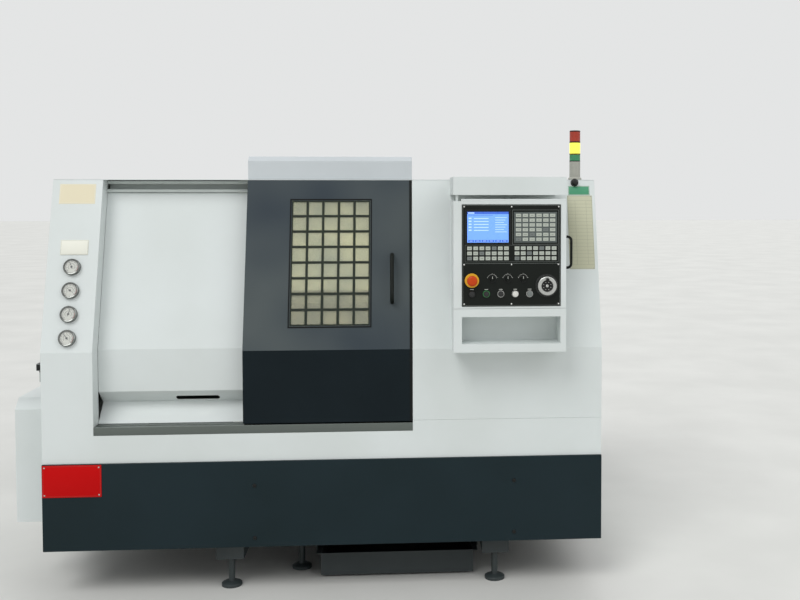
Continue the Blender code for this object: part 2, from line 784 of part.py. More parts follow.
def make_skirt():
    skirt = block((0.0, -SKIRT_PROUD, SKIRT_BOTTOM), (BODY_WIDTH, SKIRT_RETURN, SKIRT_TOP))
    open_shell(skirt, opens_back)
    name_part(skirt, "front_skirt", DARK)


def guard_section():
    """The fixed guard's outer (y, z) section: leaning face, drop, shaded return and sill."""
    face = PANEL_RETURN + SEAT
    back = GUARD_BACK
    sill_foot = TRACK_TOP + RUNNING
    return [(lean(GUARD_TOP) + face, GUARD_TOP), (face, BREAK_HEIGHT), (face, GUARD_BOTTOM),
            (GUARD_RETURN_Y, GUARD_RETURN_HEIGHT), (GUARD_SILL_Y, sill_foot), (back, sill_foot),
            (back, BREAK_HEIGHT), (lean(GUARD_TOP) + back, GUARD_TOP)]


def make_fixed_guard():
    guard = along_x(guard_section(), COLUMN_WIDTH + SEAT, RECESS_RIGHT - SEAT)
    open_shell(guard, opens_back)
    doorway = slab(OPENING_LEFT, OPENING_RIGHT, OPENING_BOTTOM, OPENING_TOP, 0.0, 2.0 * GUARD_BACK)
    middle = (GUARD_BOTTOM + GUARD_RETURN_HEIGHT) / 2.0 - SLOT_HEIGHT / 2.0
    half = SLOT_HEIGHT / 2.0
    left_end = arc((SLOT_LEFT + half, middle), half, 90.0, 270.0, 8)
    right_end = arc((SLOT_RIGHT - half, middle), half, -90.0, 90.0, 8)
    slot = along_y(left_end + right_end, PANEL_RETURN + SHEET, GUARD_RETURN_Y + GUARD_RETURN_Y)
    cut(guard, doorway, slot)
    name_part(guard, "fixed_guard", WHITE)


def make_tracks():
    left, right = COLUMN_WIDTH + SEAT, RECESS_RIGHT - SEAT
    rail = block((left, 0.0, TRACK_BOTTOM), (right, TRACK_DEPTH, TRACK_TOP))
    middle = DOOR_THICKNESS / 2.0
    groove = block((left - SHEET, middle - TRACK_GROOVE / 2.0, TRACK_TOP - TRACK_GROOVE_DEPTH),
                   (right + SHEET, middle + TRACK_GROOVE / 2.0, TRACK_TOP + SHEET))
    name_part(cut(rail, groove), "lower_track", RAIL_GREY)
    low, high = UPPER_TRACK_BOTTOM, UPPER_TRACK_BOTTOM + UPPER_TRACK_HEIGHT
    front, back = UPPER_TRACK_FRONT, UPPER_TRACK_FRONT + UPPER_TRACK_DEPTH
    channel = slab(left, right, low, high, front, back)
    hollow = slab(left - SHEET, right + SHEET, low + SHEET, high - SHEET, front + SHEET, back - SHEET)
    centre = (low + high) / 2.0
    lip = HANGER_THICKNESS / 2.0 + SHEET
    mouth = slab(left - SHEET, right + SHEET, centre - lip, centre + lip, front - SHEET, front + 2.0 * SHEET)
    name_part(cut(channel, hollow, mouth), "upper_track", RAIL_GREY)


def make_door():
    add_carrier("door", (DOOR_LEFT, 0.0, DOOR_BOTTOM))
    right = RECESS_RIGHT - DOOR_CLEARANCE
    door = slab(DOOR_LEFT, right, DOOR_BOTTOM, BODY_TOP, 0.0, DOOR_THICKNESS)
    open_shell(door, opens_back)
    centre = UPPER_TRACK_BOTTOM + UPPER_TRACK_HEIGHT / 2.0
    half = HANGER_THICKNESS / 2.0
    hanger_front, hanger_back = SHEET / 2.0, UPPER_TRACK_FRONT + 2.0 * SHEET
    web = slab(DOOR_LEFT + SHEET / 2.0, right - SHEET / 2.0, centre - half, centre + half,
               hanger_front, hanger_back + SHEET)
    head_back = UPPER_TRACK_FRONT + UPPER_TRACK_DEPTH - 2.0 * SHEET
    head_half = UPPER_TRACK_HEIGHT / 2.0 - 2.0 * SHEET
    head = slab(DOOR_LEFT + SHEET, right - SHEET, centre - head_half, centre + head_half,
                hanger_back, head_back)
    middle = DOOR_THICKNESS / 2.0
    fin_half = TRACK_GROOVE / 2.0 - SHEET
    fin = block((DOOR_LEFT + SHEET, middle - fin_half, TRACK_TOP - TRACK_GROOVE_DEPTH + SHEET),
                (right - SHEET, middle + fin_half, DOOR_BOTTOM + SHEET / 2.0))
    join(door, web, head, fin)
    cut(door, slab(WINDOW_LEFT, WINDOW_RIGHT, WINDOW_BOTTOM, WINDOW_TOP, -SHEET, 2.0 * SHEET))
    name_part(door, "door_panel", DOOR_GREY, "door")
    pane = slab(WINDOW_LEFT - GLASS_LAP, WINDOW_RIGHT + GLASS_LAP, WINDOW_BOTTOM - GLASS_LAP,
                WINDOW_TOP + GLASS_LAP, SHEET + SEAT, SHEET + SEAT + GLASS)
    name_part(pane, "door_window", GLASS_TINT, "door")
    make_grille()
    route = grip_route(DOOR_HANDLE_BOTTOM, DOOR_HANDLE_TOP, DOOR_HANDLE_REACH, DOOR_HANDLE_REACH * 0.8)
    points = [Vector((DOOR_HANDLE_X, lean(z), z)) + OUTWARD * (out + SEAT) for z, out in route]
    name_part(tube(points, DOOR_HANDLE_RADIUS), "door_handle", BLACK, "door")


def make_grille():
    """Square bars in the window: a grid whose cells are inset and taken out."""
    width = WINDOW_RIGHT - WINDOW_LEFT - 2.0 * SEAT
    slope = (WINDOW_TOP - WINDOW_BOTTOM) / math.cos(LEAN_ANGLE)
    height = slope - 2.0 * GRILLE_CLEARANCE
    bm = bmesh.new()
    flat = Matrix.Diagonal((width / 2.0, height / 2.0, 1.0, 1.0))
    bmesh.ops.create_grid(bm, x_segments=WINDOW_COLUMNS, y_segments=WINDOW_ROWS, size=1.0, matrix=flat)
    result = bmesh.ops.inset_individual(bm, faces=bm.faces[:], thickness=GRILLE_BAR / 2.0,
                                        use_even_offset=True)
    rims = set(result["faces"])
    cells = [face for face in bm.faces if face not in rims]
    bmesh.ops.delete(bm, geom=cells, context="FACES")
    grille = from_bmesh("grille", bm)
    wall = grille.modifiers.new("bars", "SOLIDIFY")
    wall.thickness = SHEET
    wall.offset = 0.0
    settle(grille)
    middle_z = (WINDOW_BOTTOM + WINDOW_TOP) / 2.0
    depth = SHEET / 2.0
    tilt = Matrix.Rotation(math.radians(90.0) - LEAN_ANGLE, 4, "X")
    grille.data.transform(tilt)
    centre_x = (WINDOW_LEFT + WINDOW_RIGHT) / 2.0
    grille.data.transform(Matrix.Translation((centre_x, lean(middle_z) + depth - SEAT, middle_z)))
    name_part(grille, "window_grille", DOOR_GREY, "door")


def make_sides():
    """Side sheets with the access doorway and the motor's hole on the left one."""
    def side_outline():
        seam = PANEL_RETURN + SEAM_GAP
        low_seam = SKIRT_RETURN + SEAM_GAP
        return [(low_seam, SKIRT_BOTTOM), (low_seam, SKIRT_TOP), (seam, SKIRT_TOP),
                (seam, BREAK_HEIGHT), (lean(BODY_TOP) + seam, BODY_TOP), (BODY_DEPTH, BODY_TOP),
                (BODY_DEPTH, SKIRT_BOTTOM)]
    left = along_x(side_outline(), 0.0, SHEET)
    doorway = block((-SHEET, ACCESS_FRONT, ACCESS_BOTTOM), (2.0 * SHEET, ACCESS_BACK, ACCESS_TOP))
    hole = rod((-SHEET, MOTOR_Y, MOTOR_Z), (2.0 * SHEET, MOTOR_Y, MOTOR_Z), MOTOR_HOLE_RADIUS, LARGE_ROUND)
    cut(left, doorway, hole)
    for height in hinge_heights(ACCESS_BOTTOM, ACCESS_TOP):
        join(left, side_hinge_half(height + HINGE_KNUCKLE + SEAT, -HINGE_LEAF))
    join(left, *air_unit())
    name_part(left, "left_side_panel", WHITE)
    right = along_x(side_outline(), BODY_WIDTH - SHEET, BODY_WIDTH)
    name_part(right, "right_side_panel", WHITE)


def air_unit():
    """The air filter and regulator: bracket, block, knob and two bowls, in that order."""
    near, far = AIR_FRONT, AIR_FRONT + AIR_LENGTH
    middle_x = -AIR_STAND_OFF - AIR_DEPTH / 2.0
    top = AIR_BOTTOM + AIR_HEIGHT
    quarter = AIR_LENGTH / 4.0
    bracket = block((-AIR_STAND_OFF - SHEET, near + quarter, AIR_BOTTOM + SHEET),
                    (SHEET / 2.0, far - quarter, top - SHEET))
    body = block((-AIR_STAND_OFF - AIR_DEPTH, near, AIR_BOTTOM), (-AIR_STAND_OFF, far, top))
    knob_y = near + quarter
    knob = rod((middle_x, knob_y, top - SHEET), (middle_x, knob_y, top + AIR_KNOB_HEIGHT), AIR_KNOB_RADIUS,
               SMALL_ROUND)
    pieces = [bracket, body, knob]
    for y in (near + quarter, far - quarter):
        foot = AIR_BOTTOM - AIR_BOWL_LENGTH
        bowl = [(0.0, AIR_BOTTOM + SHEET), (AIR_BOWL_RADIUS, AIR_BOTTOM + SHEET),
                (AIR_BOWL_RADIUS, foot + AIR_BOWL_RADIUS / 2.0), (AIR_BOWL_RADIUS / 2.0, foot), (0.0, foot)]
        pieces.append(turned(bowl, SMALL_ROUND, Matrix.Translation((middle_x, y, 0.0))))
    return pieces


def hinge_heights(bottom, top):
    quarter = (top - bottom) / 6.0
    return (bottom + quarter, top - quarter)


def side_hinge_half(bottom, leaf_reach):
    """A knuckle on the side door's axis with its leaf, reaching back or forward in y."""
    x = -HINGE_RADIUS - SEAT
    knuckle = rod((x, ACCESS_FRONT, bottom), (x, ACCESS_FRONT, bottom + HINGE_KNUCKLE), HINGE_RADIUS,
                  SMALL_ROUND)
    ends = sorted((ACCESS_FRONT, ACCESS_FRONT + leaf_reach))
    leaf = block((-2.0 * HINGE_LEAF_THICKNESS, ends[0], bottom), (SEAT, ends[1], bottom + HINGE_KNUCKLE))
    return join(knuckle, leaf)


def make_access_door():
    axis_x = -HINGE_RADIUS - SEAT
    add_carrier("access_door", (axis_x, ACCESS_FRONT, ACCESS_BOTTOM))
    gap = DOOR_CLEARANCE
    door = block((0.0, ACCESS_FRONT + gap, ACCESS_BOTTOM + gap),
                 (ACCESS_DOOR_DEPTH, ACCESS_BACK - gap, ACCESS_TOP - gap))
    open_shell(door, lambda normal: normal.x > 0.5)
    for height in hinge_heights(ACCESS_BOTTOM, ACCESS_TOP):
        join(door, side_hinge_half(height, HINGE_LEAF))
        latch_y = ACCESS_BACK - LATCH_INSET
        latch = block((-LATCH_PROUD, latch_y - LATCH_WIDTH / 2.0, height - LATCH_HEIGHT / 2.0),
                      (SHEET / 2.0, latch_y + LATCH_WIDTH / 2.0, height + LATCH_HEIGHT / 2.0))
        join(door, latch)
    name_part(door, "left_access_door", WHITE, "access_door")


def make_rear():
    rear = block((SHEET + SEAT, BODY_DEPTH - SHEET, SKIRT_BOTTOM),
                 (BODY_WIDTH - SHEET - SEAT, BODY_DEPTH, BODY_TOP))
    window = block((CABINET_LEFT, BODY_DEPTH - 2.0 * SHEET, CABINET_BOTTOM),
                   (CABINET_RIGHT, BODY_DEPTH + SHEET, CABINET_TOP))
    cut(rear, window)
    for height in hinge_heights(CABINET_BOTTOM, CABINET_TOP):
        join(rear, rear_hinge_half(height + HINGE_KNUCKLE + SEAT, -HINGE_LEAF, BODY_DEPTH))
    name_part(rear, "rear_panel", WHITE)
    cabinet = block((CABINET_LEFT - SHEET, CABINET_FRONT, CABINET_BOTTOM - SHEET),
                    (CABINET_RIGHT + SHEET, BODY_DEPTH - SHEET - SEAT, CABINET_TOP + SHEET))
    open_shell(cabinet, opens_back)
    name_part(cabinet, "electrical_cabinet", CAST)


def rear_hinge_half(bottom, leaf_reach, face_y):
    """A knuckle on the cabinet door's axis with its leaf on the face that carries it."""
    x = CABINET_LEFT - CABINET_DOOR_LAP
    y = rear_axis_y()
    top = bottom + HINGE_KNUCKLE
    knuckle = rod((x, y, bottom), (x, y, top), HINGE_RADIUS, SMALL_ROUND)
    ends = sorted((x, x + leaf_reach))
    leaf = block((ends[0], face_y - SHEET / 2.0, bottom), (ends[1], y, top))
    if leaf_reach < 0.0:
        leaf_top = y - HINGE_RADIUS + HINGE_LEAF_THICKNESS
        cut(leaf,
            block((ends[0] - SHEET, leaf_top, bottom - SHEET),
                  (ends[1] - HINGE_RADIUS, y + SHEET, top + SHEET)))
    return join(knuckle, leaf)


def rear_axis_y():
    return BODY_DEPTH + SEAT + CABINET_DOOR_DEPTH + HINGE_RADIUS


def make_cabinet_door():
    axis_x = CABINET_LEFT - CABINET_DOOR_LAP
    add_carrier("cabinet_door", (axis_x, rear_axis_y(), CABINET_BOTTOM))
    front, back = BODY_DEPTH + SEAT, BODY_DEPTH + SEAT + CABINET_DOOR_DEPTH
    door = block((axis_x + DOOR_CLEARANCE, front, CABINET_BOTTOM - CABINET_DOOR_LAP),
                 (CABINET_RIGHT + CABINET_DOOR_LAP, back, CABINET_TOP + CABINET_DOOR_LAP))
    open_shell(door, lambda normal: normal.y < -0.5)
    for height in hinge_heights(CABINET_BOTTOM, CABINET_TOP):
        knuckle = rod((axis_x, rear_axis_y(), height), (axis_x, rear_axis_y(), height + HINGE_KNUCKLE),
                      HINGE_RADIUS, SMALL_ROUND)
        leaf = block((axis_x, back - SHEET / 2.0, height),
                     (axis_x + HINGE_LEAF, rear_axis_y() - HINGE_RADIUS + HINGE_LEAF_THICKNESS,
                      height + HINGE_KNUCKLE))
        join(door, join(knuckle, leaf))
        latch_x = CABINET_RIGHT - LATCH_INSET
        latch = block((latch_x - LATCH_WIDTH / 2.0, back - SHEET / 2.0, height - LATCH_HEIGHT / 2.0),
                      (latch_x + LATCH_WIDTH / 2.0, back + LATCH_PROUD, height + LATCH_HEIGHT / 2.0))
        join(door, latch)
    for bottom in (CABINET_BOTTOM + FILTER_MARGIN, CABINET_TOP - FILTER_MARGIN - FILTER_SIZE):
        add_filter(door, CABINET_LEFT + FILTER_MARGIN, bottom, back)
    name_part(door, "cabinet_door", WHITE, "cabinet_door")


def add_filter(door, left, bottom, face_y):
    """A square filter frame on the door, with level slots through both."""
    right, top = left + FILTER_SIZE, bottom + FILTER_SIZE
    frame = block((left, face_y - SHEET / 2.0, bottom), (right, face_y + FILTER_PROUD, top))
    join(door, frame)
    pitch = (FILTER_SIZE - 2.0 * FILTER_BORDER) / FILTER_SLOTS
    slots = []
    for row in range(FILTER_SLOTS):
        z = bottom + FILTER_BORDER + (row + 0.5) * pitch
        half = pitch * FILTER_SLOT_SHARE / 2.0
        slots.append(block((left + FILTER_BORDER, face_y - 2.0 * SHEET, z - half),
                           (right - FILTER_BORDER, face_y + FILTER_PROUD + SHEET, z + half)))
    cut(door, gather(slots))


def make_roof():
    low = BODY_TOP + SEAT
    front = lean(BODY_TOP) + SEAT
    roof = block((0.0, front, low), (BODY_WIDTH, BODY_DEPTH, low + SHEET))
    name_part(roof, "roof_panel", WHITE)
    base = low + SHEET + SEAT
    near, far = front + HOOD_SETBACK, front + HOOD_SETBACK + HOOD_DEPTH
    top = base + HOOD_HEIGHT
    outline = [(near, base), (near, top - HOOD_CHAMFER), (near + HOOD_CHAMFER, top), (far, top), (far, base)]
    hood = along_x(outline, DOOR_LEFT, RECESS_RIGHT)
    open_shell(hood, lambda normal: normal.z < -0.5)
    name_part(hood, "roof_hood", WHITE)


def make_motor_cover():
    outline = [(COVER_FRONT, COVER_BOTTOM), (COVER_FRONT, COVER_SHOULDER),
               (COVER_FRONT + COVER_CHAMFER, COVER_TOP), (COVER_BACK, COVER_TOP), (COVER_BACK, COVER_BOTTOM)]
    cover = along_x(outline, -COVER_REACH, -SEAT)
    open_shell(cover, lambda normal: normal.x > 0.5)
    middle_y = (COVER_FRONT + COVER_BACK) / 2.0
    middle_z = (COVER_BOTTOM + COVER_SHOULDER) / 2.0
    slots, lids = [], []
    for column in range(LOUVRE_COLUMNS):
        y = middle_y + (column - (LOUVRE_COLUMNS - 1) / 2.0) * LOUVRE_COLUMN_PITCH
        for row in range(LOUVRE_ROWS):
            z = middle_z + (row - (LOUVRE_ROWS - 1) / 2.0) * LOUVRE_PITCH
            ends = (y - LOUVRE_LENGTH / 2.0, y + LOUVRE_LENGTH / 2.0)
            slots.append(block((-COVER_REACH - SHEET, ends[0], z),
                               (-COVER_REACH + 2.0 * SHEET, ends[1], z + LOUVRE_HEIGHT)))
            lids.append(louvre_lid(ends, z))
    cut(cover, gather(slots))
    join(cover, gather(lids))
    name_part(cover, "motor_cover", WHITE)


def louvre_lid(ends, z):
    """A pressed lid that slopes out and down over its slot."""
    x = -COVER_REACH
    top = z + LOUVRE_HEIGHT
    outline = [(x + SHEET / 2.0, top - SEAT), (x + SHEET / 2.0, top + SHEET), (x, top + SHEET),
               (x - LOUVRE_PROUD, z + SHEET / 2.0), (x - LOUVRE_PROUD + SHEET / 2.0, z), (x, top - SEAT)]
    return along_y(outline, ends[0] - SEAT, ends[1] + SEAT)


def make_gauges():
    profile = [(0.0, 0.0), (GAUGE_RADIUS * 0.86, 0.0), (GAUGE_RADIUS, 0.003),
               (GAUGE_RADIUS, GAUGE_PROUD - 0.002),
               (GAUGE_RADIUS * 0.94, GAUGE_PROUD), (GAUGE_RADIUS * 0.86, GAUGE_PROUD),
               (GAUGE_RADIUS * 0.84, GAUGE_PROUD - 0.004), (0.0, GAUGE_PROUD - 0.004)]
    for index in range(GAUGE_COUNT):
        z = GAUGE_TOP_Z - index * GAUGE_PITCH
        seat = Vector((GAUGE_X, lean(z), z)) + OUTWARD * SEAT
        gauge = turned(profile[::-1], MIDDLE_ROUND, facing(OUTWARD, seat))
        name_part(gauge, f"gauge_{index + 1}", DIAL)


def make_control_housing():
    visor_outline = [(HOUSING_FRONT, VISOR_BOTTOM), (HOUSING_FRONT, HOUSING_TOP),
                     (LEAN_DEPTH - SEAT, HOUSING_TOP),
                     (LEAN_DEPTH - SEAT, BODY_TOP), (lean(VISOR_BOTTOM) - SEAT, VISOR_BOTTOM)]
    visor = along_x(visor_outline, HOUSING_LEFT, HOUSING_RIGHT)
    tray_outline = [(HOUSING_FRONT, HOUSING_BOTTOM), (HOUSING_FRONT, TRAY_TOP),
                    (lean(TRAY_TOP) - SEAT, TRAY_TOP)]
    if HOUSING_BOTTOM < BREAK_HEIGHT < TRAY_TOP:
        tray_outline.append((-SEAT, BREAK_HEIGHT))
    tray_outline.append((lean(HOUSING_BOTTOM) - SEAT, HOUSING_BOTTOM))
    tray = along_x(tray_outline, HOUSING_LEFT, HOUSING_RIGHT)
    pocket = block((TRAY_LEFT, HOUSING_FRONT - SHEET, POCKET_BOTTOM),
                   (TRAY_RIGHT, HOUSING_FRONT + POCKET_DEPTH, POCKET_TOP))
    cut(tray, pocket)
    plate = slab(HOUSING_LEFT, HOUSING_RIGHT, TRAY_TOP - SHEET, VISOR_BOTTOM + SHEET, -SHEET - SEAT, -SEAT)
    housing = join(visor, tray, plate)
    x, y = HOUSING_LEFT + PIVOT_INSET, HOUSING_FRONT + PIVOT_INSET
    hole = PIVOT_RADIUS + PIVOT_CLEARANCE
    depth = PIVOT_ENTRY + SHEET
    cut(housing, rod((x, y, VISOR_BOTTOM - SHEET), (x, y, VISOR_BOTTOM + depth), hole, SMALL_ROUND),
        rod((x, y, TRAY_TOP - depth), (x, y, TRAY_TOP + SHEET), hole, SMALL_ROUND))
    name_part(housing, "control_housing", WHITE)


def make_swing_box():
    x, y = HOUSING_LEFT + PIVOT_INSET, HOUSING_FRONT + PIVOT_INSET
    add_carrier("control_box", (x, y, BOX_BOTTOM))
    box = block((HOUSING_LEFT + SEAT, HOUSING_FRONT, BOX_BOTTOM), (HOUSING_RIGHT - SEAT, BOX_BACK, BOX_TOP))
    ledge = FACE_THICKNESS - FACE_PROUD + SEAT
    rebate = block((FACE_LEFT - SEAT, HOUSING_FRONT - SHEET, FACE_BOTTOM - SEAT),
                   (FACE_RIGHT + SEAT, HOUSING_FRONT + ledge, FACE_TOP + SEAT))
    cavity = block((FACE_LEFT + FACE_THICKNESS, HOUSING_FRONT, FACE_BOTTOM + FACE_THICKNESS),
                   (FACE_RIGHT - FACE_THICKNESS, HOUSING_FRONT + BOX_CAVITY, FACE_TOP - FACE_THICKNESS))
    cut(box, rebate, cavity)
    join(box, rod((x, y, BOX_TOP - SHEET), (x, y, VISOR_BOTTOM + PIVOT_ENTRY), PIVOT_RADIUS, SMALL_ROUND),
         rod((x, y, TRAY_TOP - PIVOT_ENTRY), (x, y, BOX_BOTTOM + SHEET), PIVOT_RADIUS, SMALL_ROUND))
    name_part(box, "swing_box", WHITE, "control_box")
    route = grip_route(PANEL_HANDLE_BOTTOM, PANEL_HANDLE_TOP, PANEL_HANDLE_REACH, PANEL_HANDLE_REACH / 2.0)
    side = HOUSING_RIGHT
    points = [(side + out, PANEL_HANDLE_Y, z) for z, out in route]
    name_part(tube(points, PANEL_HANDLE_RADIUS), "panel_handle", BLACK, "control_box")


FACE_FRONT = HOUSING_FRONT - FACE_PROUD


def key_grid(left, right, bottom, top, columns, rows, base_y, rise):
    """Separate key caps in rows and columns, rising towards the front."""
    wide, high = (right - left) / columns, (top - bottom) / rows
    caps = []
    for column in range(columns):
        for row in range(rows):
            x, z = left + column * wide, bottom + row * high
            caps.append(block((x + KEY_GAP / 2.0, base_y - rise, z + KEY_GAP / 2.0),
                              (x + wide - KEY_GAP / 2.0, base_y + rise, z + high - KEY_GAP / 2.0)))
    return gather(caps)


def make_control_face():
    back = FACE_FRONT + FACE_THICKNESS
    face = block((FACE_LEFT, FACE_FRONT, FACE_BOTTOM), (FACE_RIGHT, back, FACE_TOP))
    cutting = [block((SCREEN_LEFT, FACE_FRONT - SHEET, SCREEN_BOTTOM),
                     (SCREEN_RIGHT, FACE_FRONT + FACE_THICKNESS * 0.75, SCREEN_TOP)),
               block((KEYPAD_LEFT, FACE_FRONT - SHEET, KEYPAD_BOTTOM),
                     (KEYPAD_RIGHT, FACE_FRONT + FACE_THICKNESS * 0.75, KEYPAD_TOP))]
    for x, z in control_places():
        cutting.append(rod((x, FACE_FRONT - SHEET, z), (x, back + SHEET, z), STEM_RADIUS + RUNNING,
                           SMALL_ROUND))
    cut(face, gather(cutting))
    collar_top = FACE_FRONT - ESTOP_COLLAR_HEIGHT
    collar = rod((ESTOP_X, collar_top, ESTOP_Z), (ESTOP_X, FACE_FRONT + SHEET / 2.0, ESTOP_Z),
                 ESTOP_COLLAR_RADIUS, MIDDLE_ROUND)
    cut(collar,
        rod((ESTOP_X, collar_top - SHEET, ESTOP_Z), (ESTOP_X, back, ESTOP_Z), STEM_RADIUS + 2.0 * RUNNING,
            SMALL_ROUND))
    keys_left = key_grid(SCREEN_LEFT, SCREEN_RIGHT, SOFT_KEY_BOTTOM, SOFT_KEY_TOP, SOFT_KEY_COLUMNS,
                         SOFT_KEY_ROWS, FACE_FRONT, SOFT_KEY_RISE)
    keys_right = key_grid(KEYPAD_LEFT, KEYPAD_RIGHT, SOFT_KEY_BOTTOM, SOFT_KEY_TOP, SOFT_KEY_COLUMNS,
                          SOFT_KEY_ROWS, FACE_FRONT, SOFT_KEY_RISE)
    join(face, collar, keys_left, keys_right)
    name_part(face, "control_face", BLACK, "control_box")
    rebate_floor = FACE_FRONT + FACE_THICKNESS * 0.75 - SEAT
    screen = block((SCREEN_LEFT + SEAT, FACE_FRONT + SCREEN_SINK, SCREEN_BOTTOM + SEAT),
                   (SCREEN_RIGHT - SEAT, rebate_floor, SCREEN_TOP - SEAT))
    name_part(screen, "screen", SCREEN_BLUE, "control_box")
    keypad = block((KEYPAD_LEFT + SEAT, FACE_FRONT + KEY_RISE, KEYPAD_BOTTOM + SEAT),
                   (KEYPAD_RIGHT - SEAT, rebate_floor, KEYPAD_TOP - SEAT))
    caps = key_grid(KEYPAD_LEFT + KEY_GAP, KEYPAD_RIGHT - KEY_GAP, KEYPAD_BOTTOM + KEY_GAP,
                    KEYPAD_TOP - KEY_GAP,
                    KEYPAD_COLUMNS, KEYPAD_ROWS, FACE_FRONT + KEY_RISE, KEY_RISE)
    name_part(join(keypad, caps), "keypad", KEY_GREY, "control_box")


def button_xs():
    return [BUTTON_X + index * BUTTON_PITCH for index in range(BUTTON_COUNT)]


def selector_xs():
    return [SELECTOR_X + index * SELECTOR_PITCH for index in range(SELECTOR_COUNT)]


def control_places():
    """Where a stem passes through the control face, as (x, z)."""
    places = [(ESTOP_X, ESTOP_Z), (HANDWHEEL_X, HANDWHEEL_Z)]
    places += [(x, SELECTOR_Z) for x in selector_xs()]
    places += [(x, BUTTON_Z) for x in button_xs()]
    return places


def stemmed_knob(profile, x, z, base_gap, sides=SMALL_ROUND):
    """A turned knob standing on the control face, with the stem that goes through the face."""
    stem = [(0.0, -STEM_LENGTH), (STEM_RADIUS, -STEM_LENGTH), (STEM_RADIUS, 0.0)]
    place = facing((0.0, -1.0, 0.0), (x, FACE_FRONT - base_gap, z))
    return turned((stem + profile)[::-1], sides, place)


def make_controls():
    add_carrier("estop", (ESTOP_X, FACE_FRONT, ESTOP_Z), "control_box")
    head = [(ESTOP_RADIUS * 0.6, 0.0), (ESTOP_RADIUS * 0.7, ESTOP_HEIGHT * 0.45),
            (ESTOP_RADIUS, ESTOP_HEIGHT * 0.55),
            (ESTOP_RADIUS, ESTOP_HEIGHT * 0.8), (ESTOP_RADIUS * 0.8, ESTOP_HEIGHT), (0.0, ESTOP_HEIGHT)]
    gap = ESTOP_COLLAR_HEIGHT + ESTOP_TRAVEL + SEAT
    name_part(stemmed_knob(head, ESTOP_X, ESTOP_Z, gap, MIDDLE_ROUND), "estop_button", ESTOP_RED, "estop")
    for index, x in enumerate(selector_xs()):
        carrier = f"selector_{index + 1}"
        add_carrier(carrier, (x, FACE_FRONT, SELECTOR_Z), "control_box")
        skirt = [(SELECTOR_RADIUS, 0.0), (SELECTOR_RADIUS, SELECTOR_HEIGHT * 0.45),
                 (SELECTOR_RADIUS * 0.85, SELECTOR_HEIGHT * 0.6), (0.0, SELECTOR_HEIGHT * 0.6)]
        knob = stemmed_knob(skirt, x, SELECTOR_Z, SEAT)
        wing = SELECTOR_RADIUS * 0.28
        lever = block((x - wing, FACE_FRONT - SEAT - SELECTOR_HEIGHT, SELECTOR_Z - SELECTOR_RADIUS * 0.95),
                      (x + wing, FACE_FRONT - SELECTOR_HEIGHT * 0.3, SELECTOR_Z + SELECTOR_RADIUS * 0.95))
        name_part(join(knob, lever), carrier, BLACK, carrier)
    for index, x in enumerate(button_xs()):
        carrier = f"push_button_{index + 1}"
        add_carrier(carrier, (x, FACE_FRONT, BUTTON_Z), "control_box")
        cap = [(BUTTON_RADIUS, 0.0), (BUTTON_RADIUS, BUTTON_HEIGHT - 0.0015),
               (BUTTON_RADIUS - 0.0015, BUTTON_HEIGHT), (0.0, BUTTON_HEIGHT)]
        name_part(stemmed_knob(cap, x, BUTTON_Z, BUTTON_TRAVEL + SEAT), carrier, KNOB_SILVER, carrier)
    add_carrier("handwheel", (HANDWHEEL_X, FACE_FRONT, HANDWHEEL_Z), "control_box")
    rim = HANDWHEEL_RADIUS
    dial = [(rim * 0.95, 0.0), (rim, 0.002), (rim, HANDWHEEL_HEIGHT - 0.003), (rim * 0.93, HANDWHEEL_HEIGHT),
            (rim * 0.62, HANDWHEEL_HEIGHT), (rim * 0.58, HANDWHEEL_HEIGHT - 0.005),
            (0.0, HANDWHEEL_HEIGHT - 0.005)]
    wheel = stemmed_knob(dial, HANDWHEEL_X, HANDWHEEL_Z, SEAT, LARGE_ROUND)
    grip_z = HANDWHEEL_Z + rim * 0.70
    grip_front = FRONT_REACH
    grip = rod((HANDWHEEL_X, FACE_FRONT - HANDWHEEL_HEIGHT * 0.5, grip_z), (HANDWHEEL_X, grip_front, grip_z),
               rim * 0.16, SMALL_ROUND)
    name_part(join(wheel, grip), "handwheel", KNOB_SILVER, "handwheel")


def make_tower():
    base = BODY_TOP + SEAT + SHEET + SEAT
    foot = [(0.0, base), (TOWER_RADIUS * 1.25, base), (TOWER_RADIUS * 1.25, base + 0.006),
            (TOWER_RADIUS, base + 0.012),
            (TOWER_RADIUS, TOWER_BASE_TOP), (0.0, TOWER_BASE_TOP)]
    upright = Matrix.Translation((TOWER_X, TOWER_Y, 0.0))
    name_part(turned(foot[::-1], MIDDLE_ROUND, upright), "tower_base", KNOB_SILVER)
    names = ("tower_lens_green", "tower_lens_yellow", "tower_lens_red")
    materials = (LENS_GREEN, LENS_YELLOW, LENS_RED)
    low = TOWER_BASE_TOP + SEAT
    for name, material, top in zip(names, materials, LENS_TOPS):
        rim, waist = TOWER_RADIUS, TOWER_RADIUS - 0.0015
        lens = [(0.0, low), (rim, low), (rim, low + LENS_JOINT), (waist, low + LENS_JOINT + 0.001),
                (waist, top - 0.004), (waist - 0.003, top), (0.0, top)]
        name_part(turned(lens[::-1], MIDDLE_ROUND, upright), name, material)
        low = top + SEAT


def bed_outline(points):
    return [bed_point(u, v) for u, v in points]


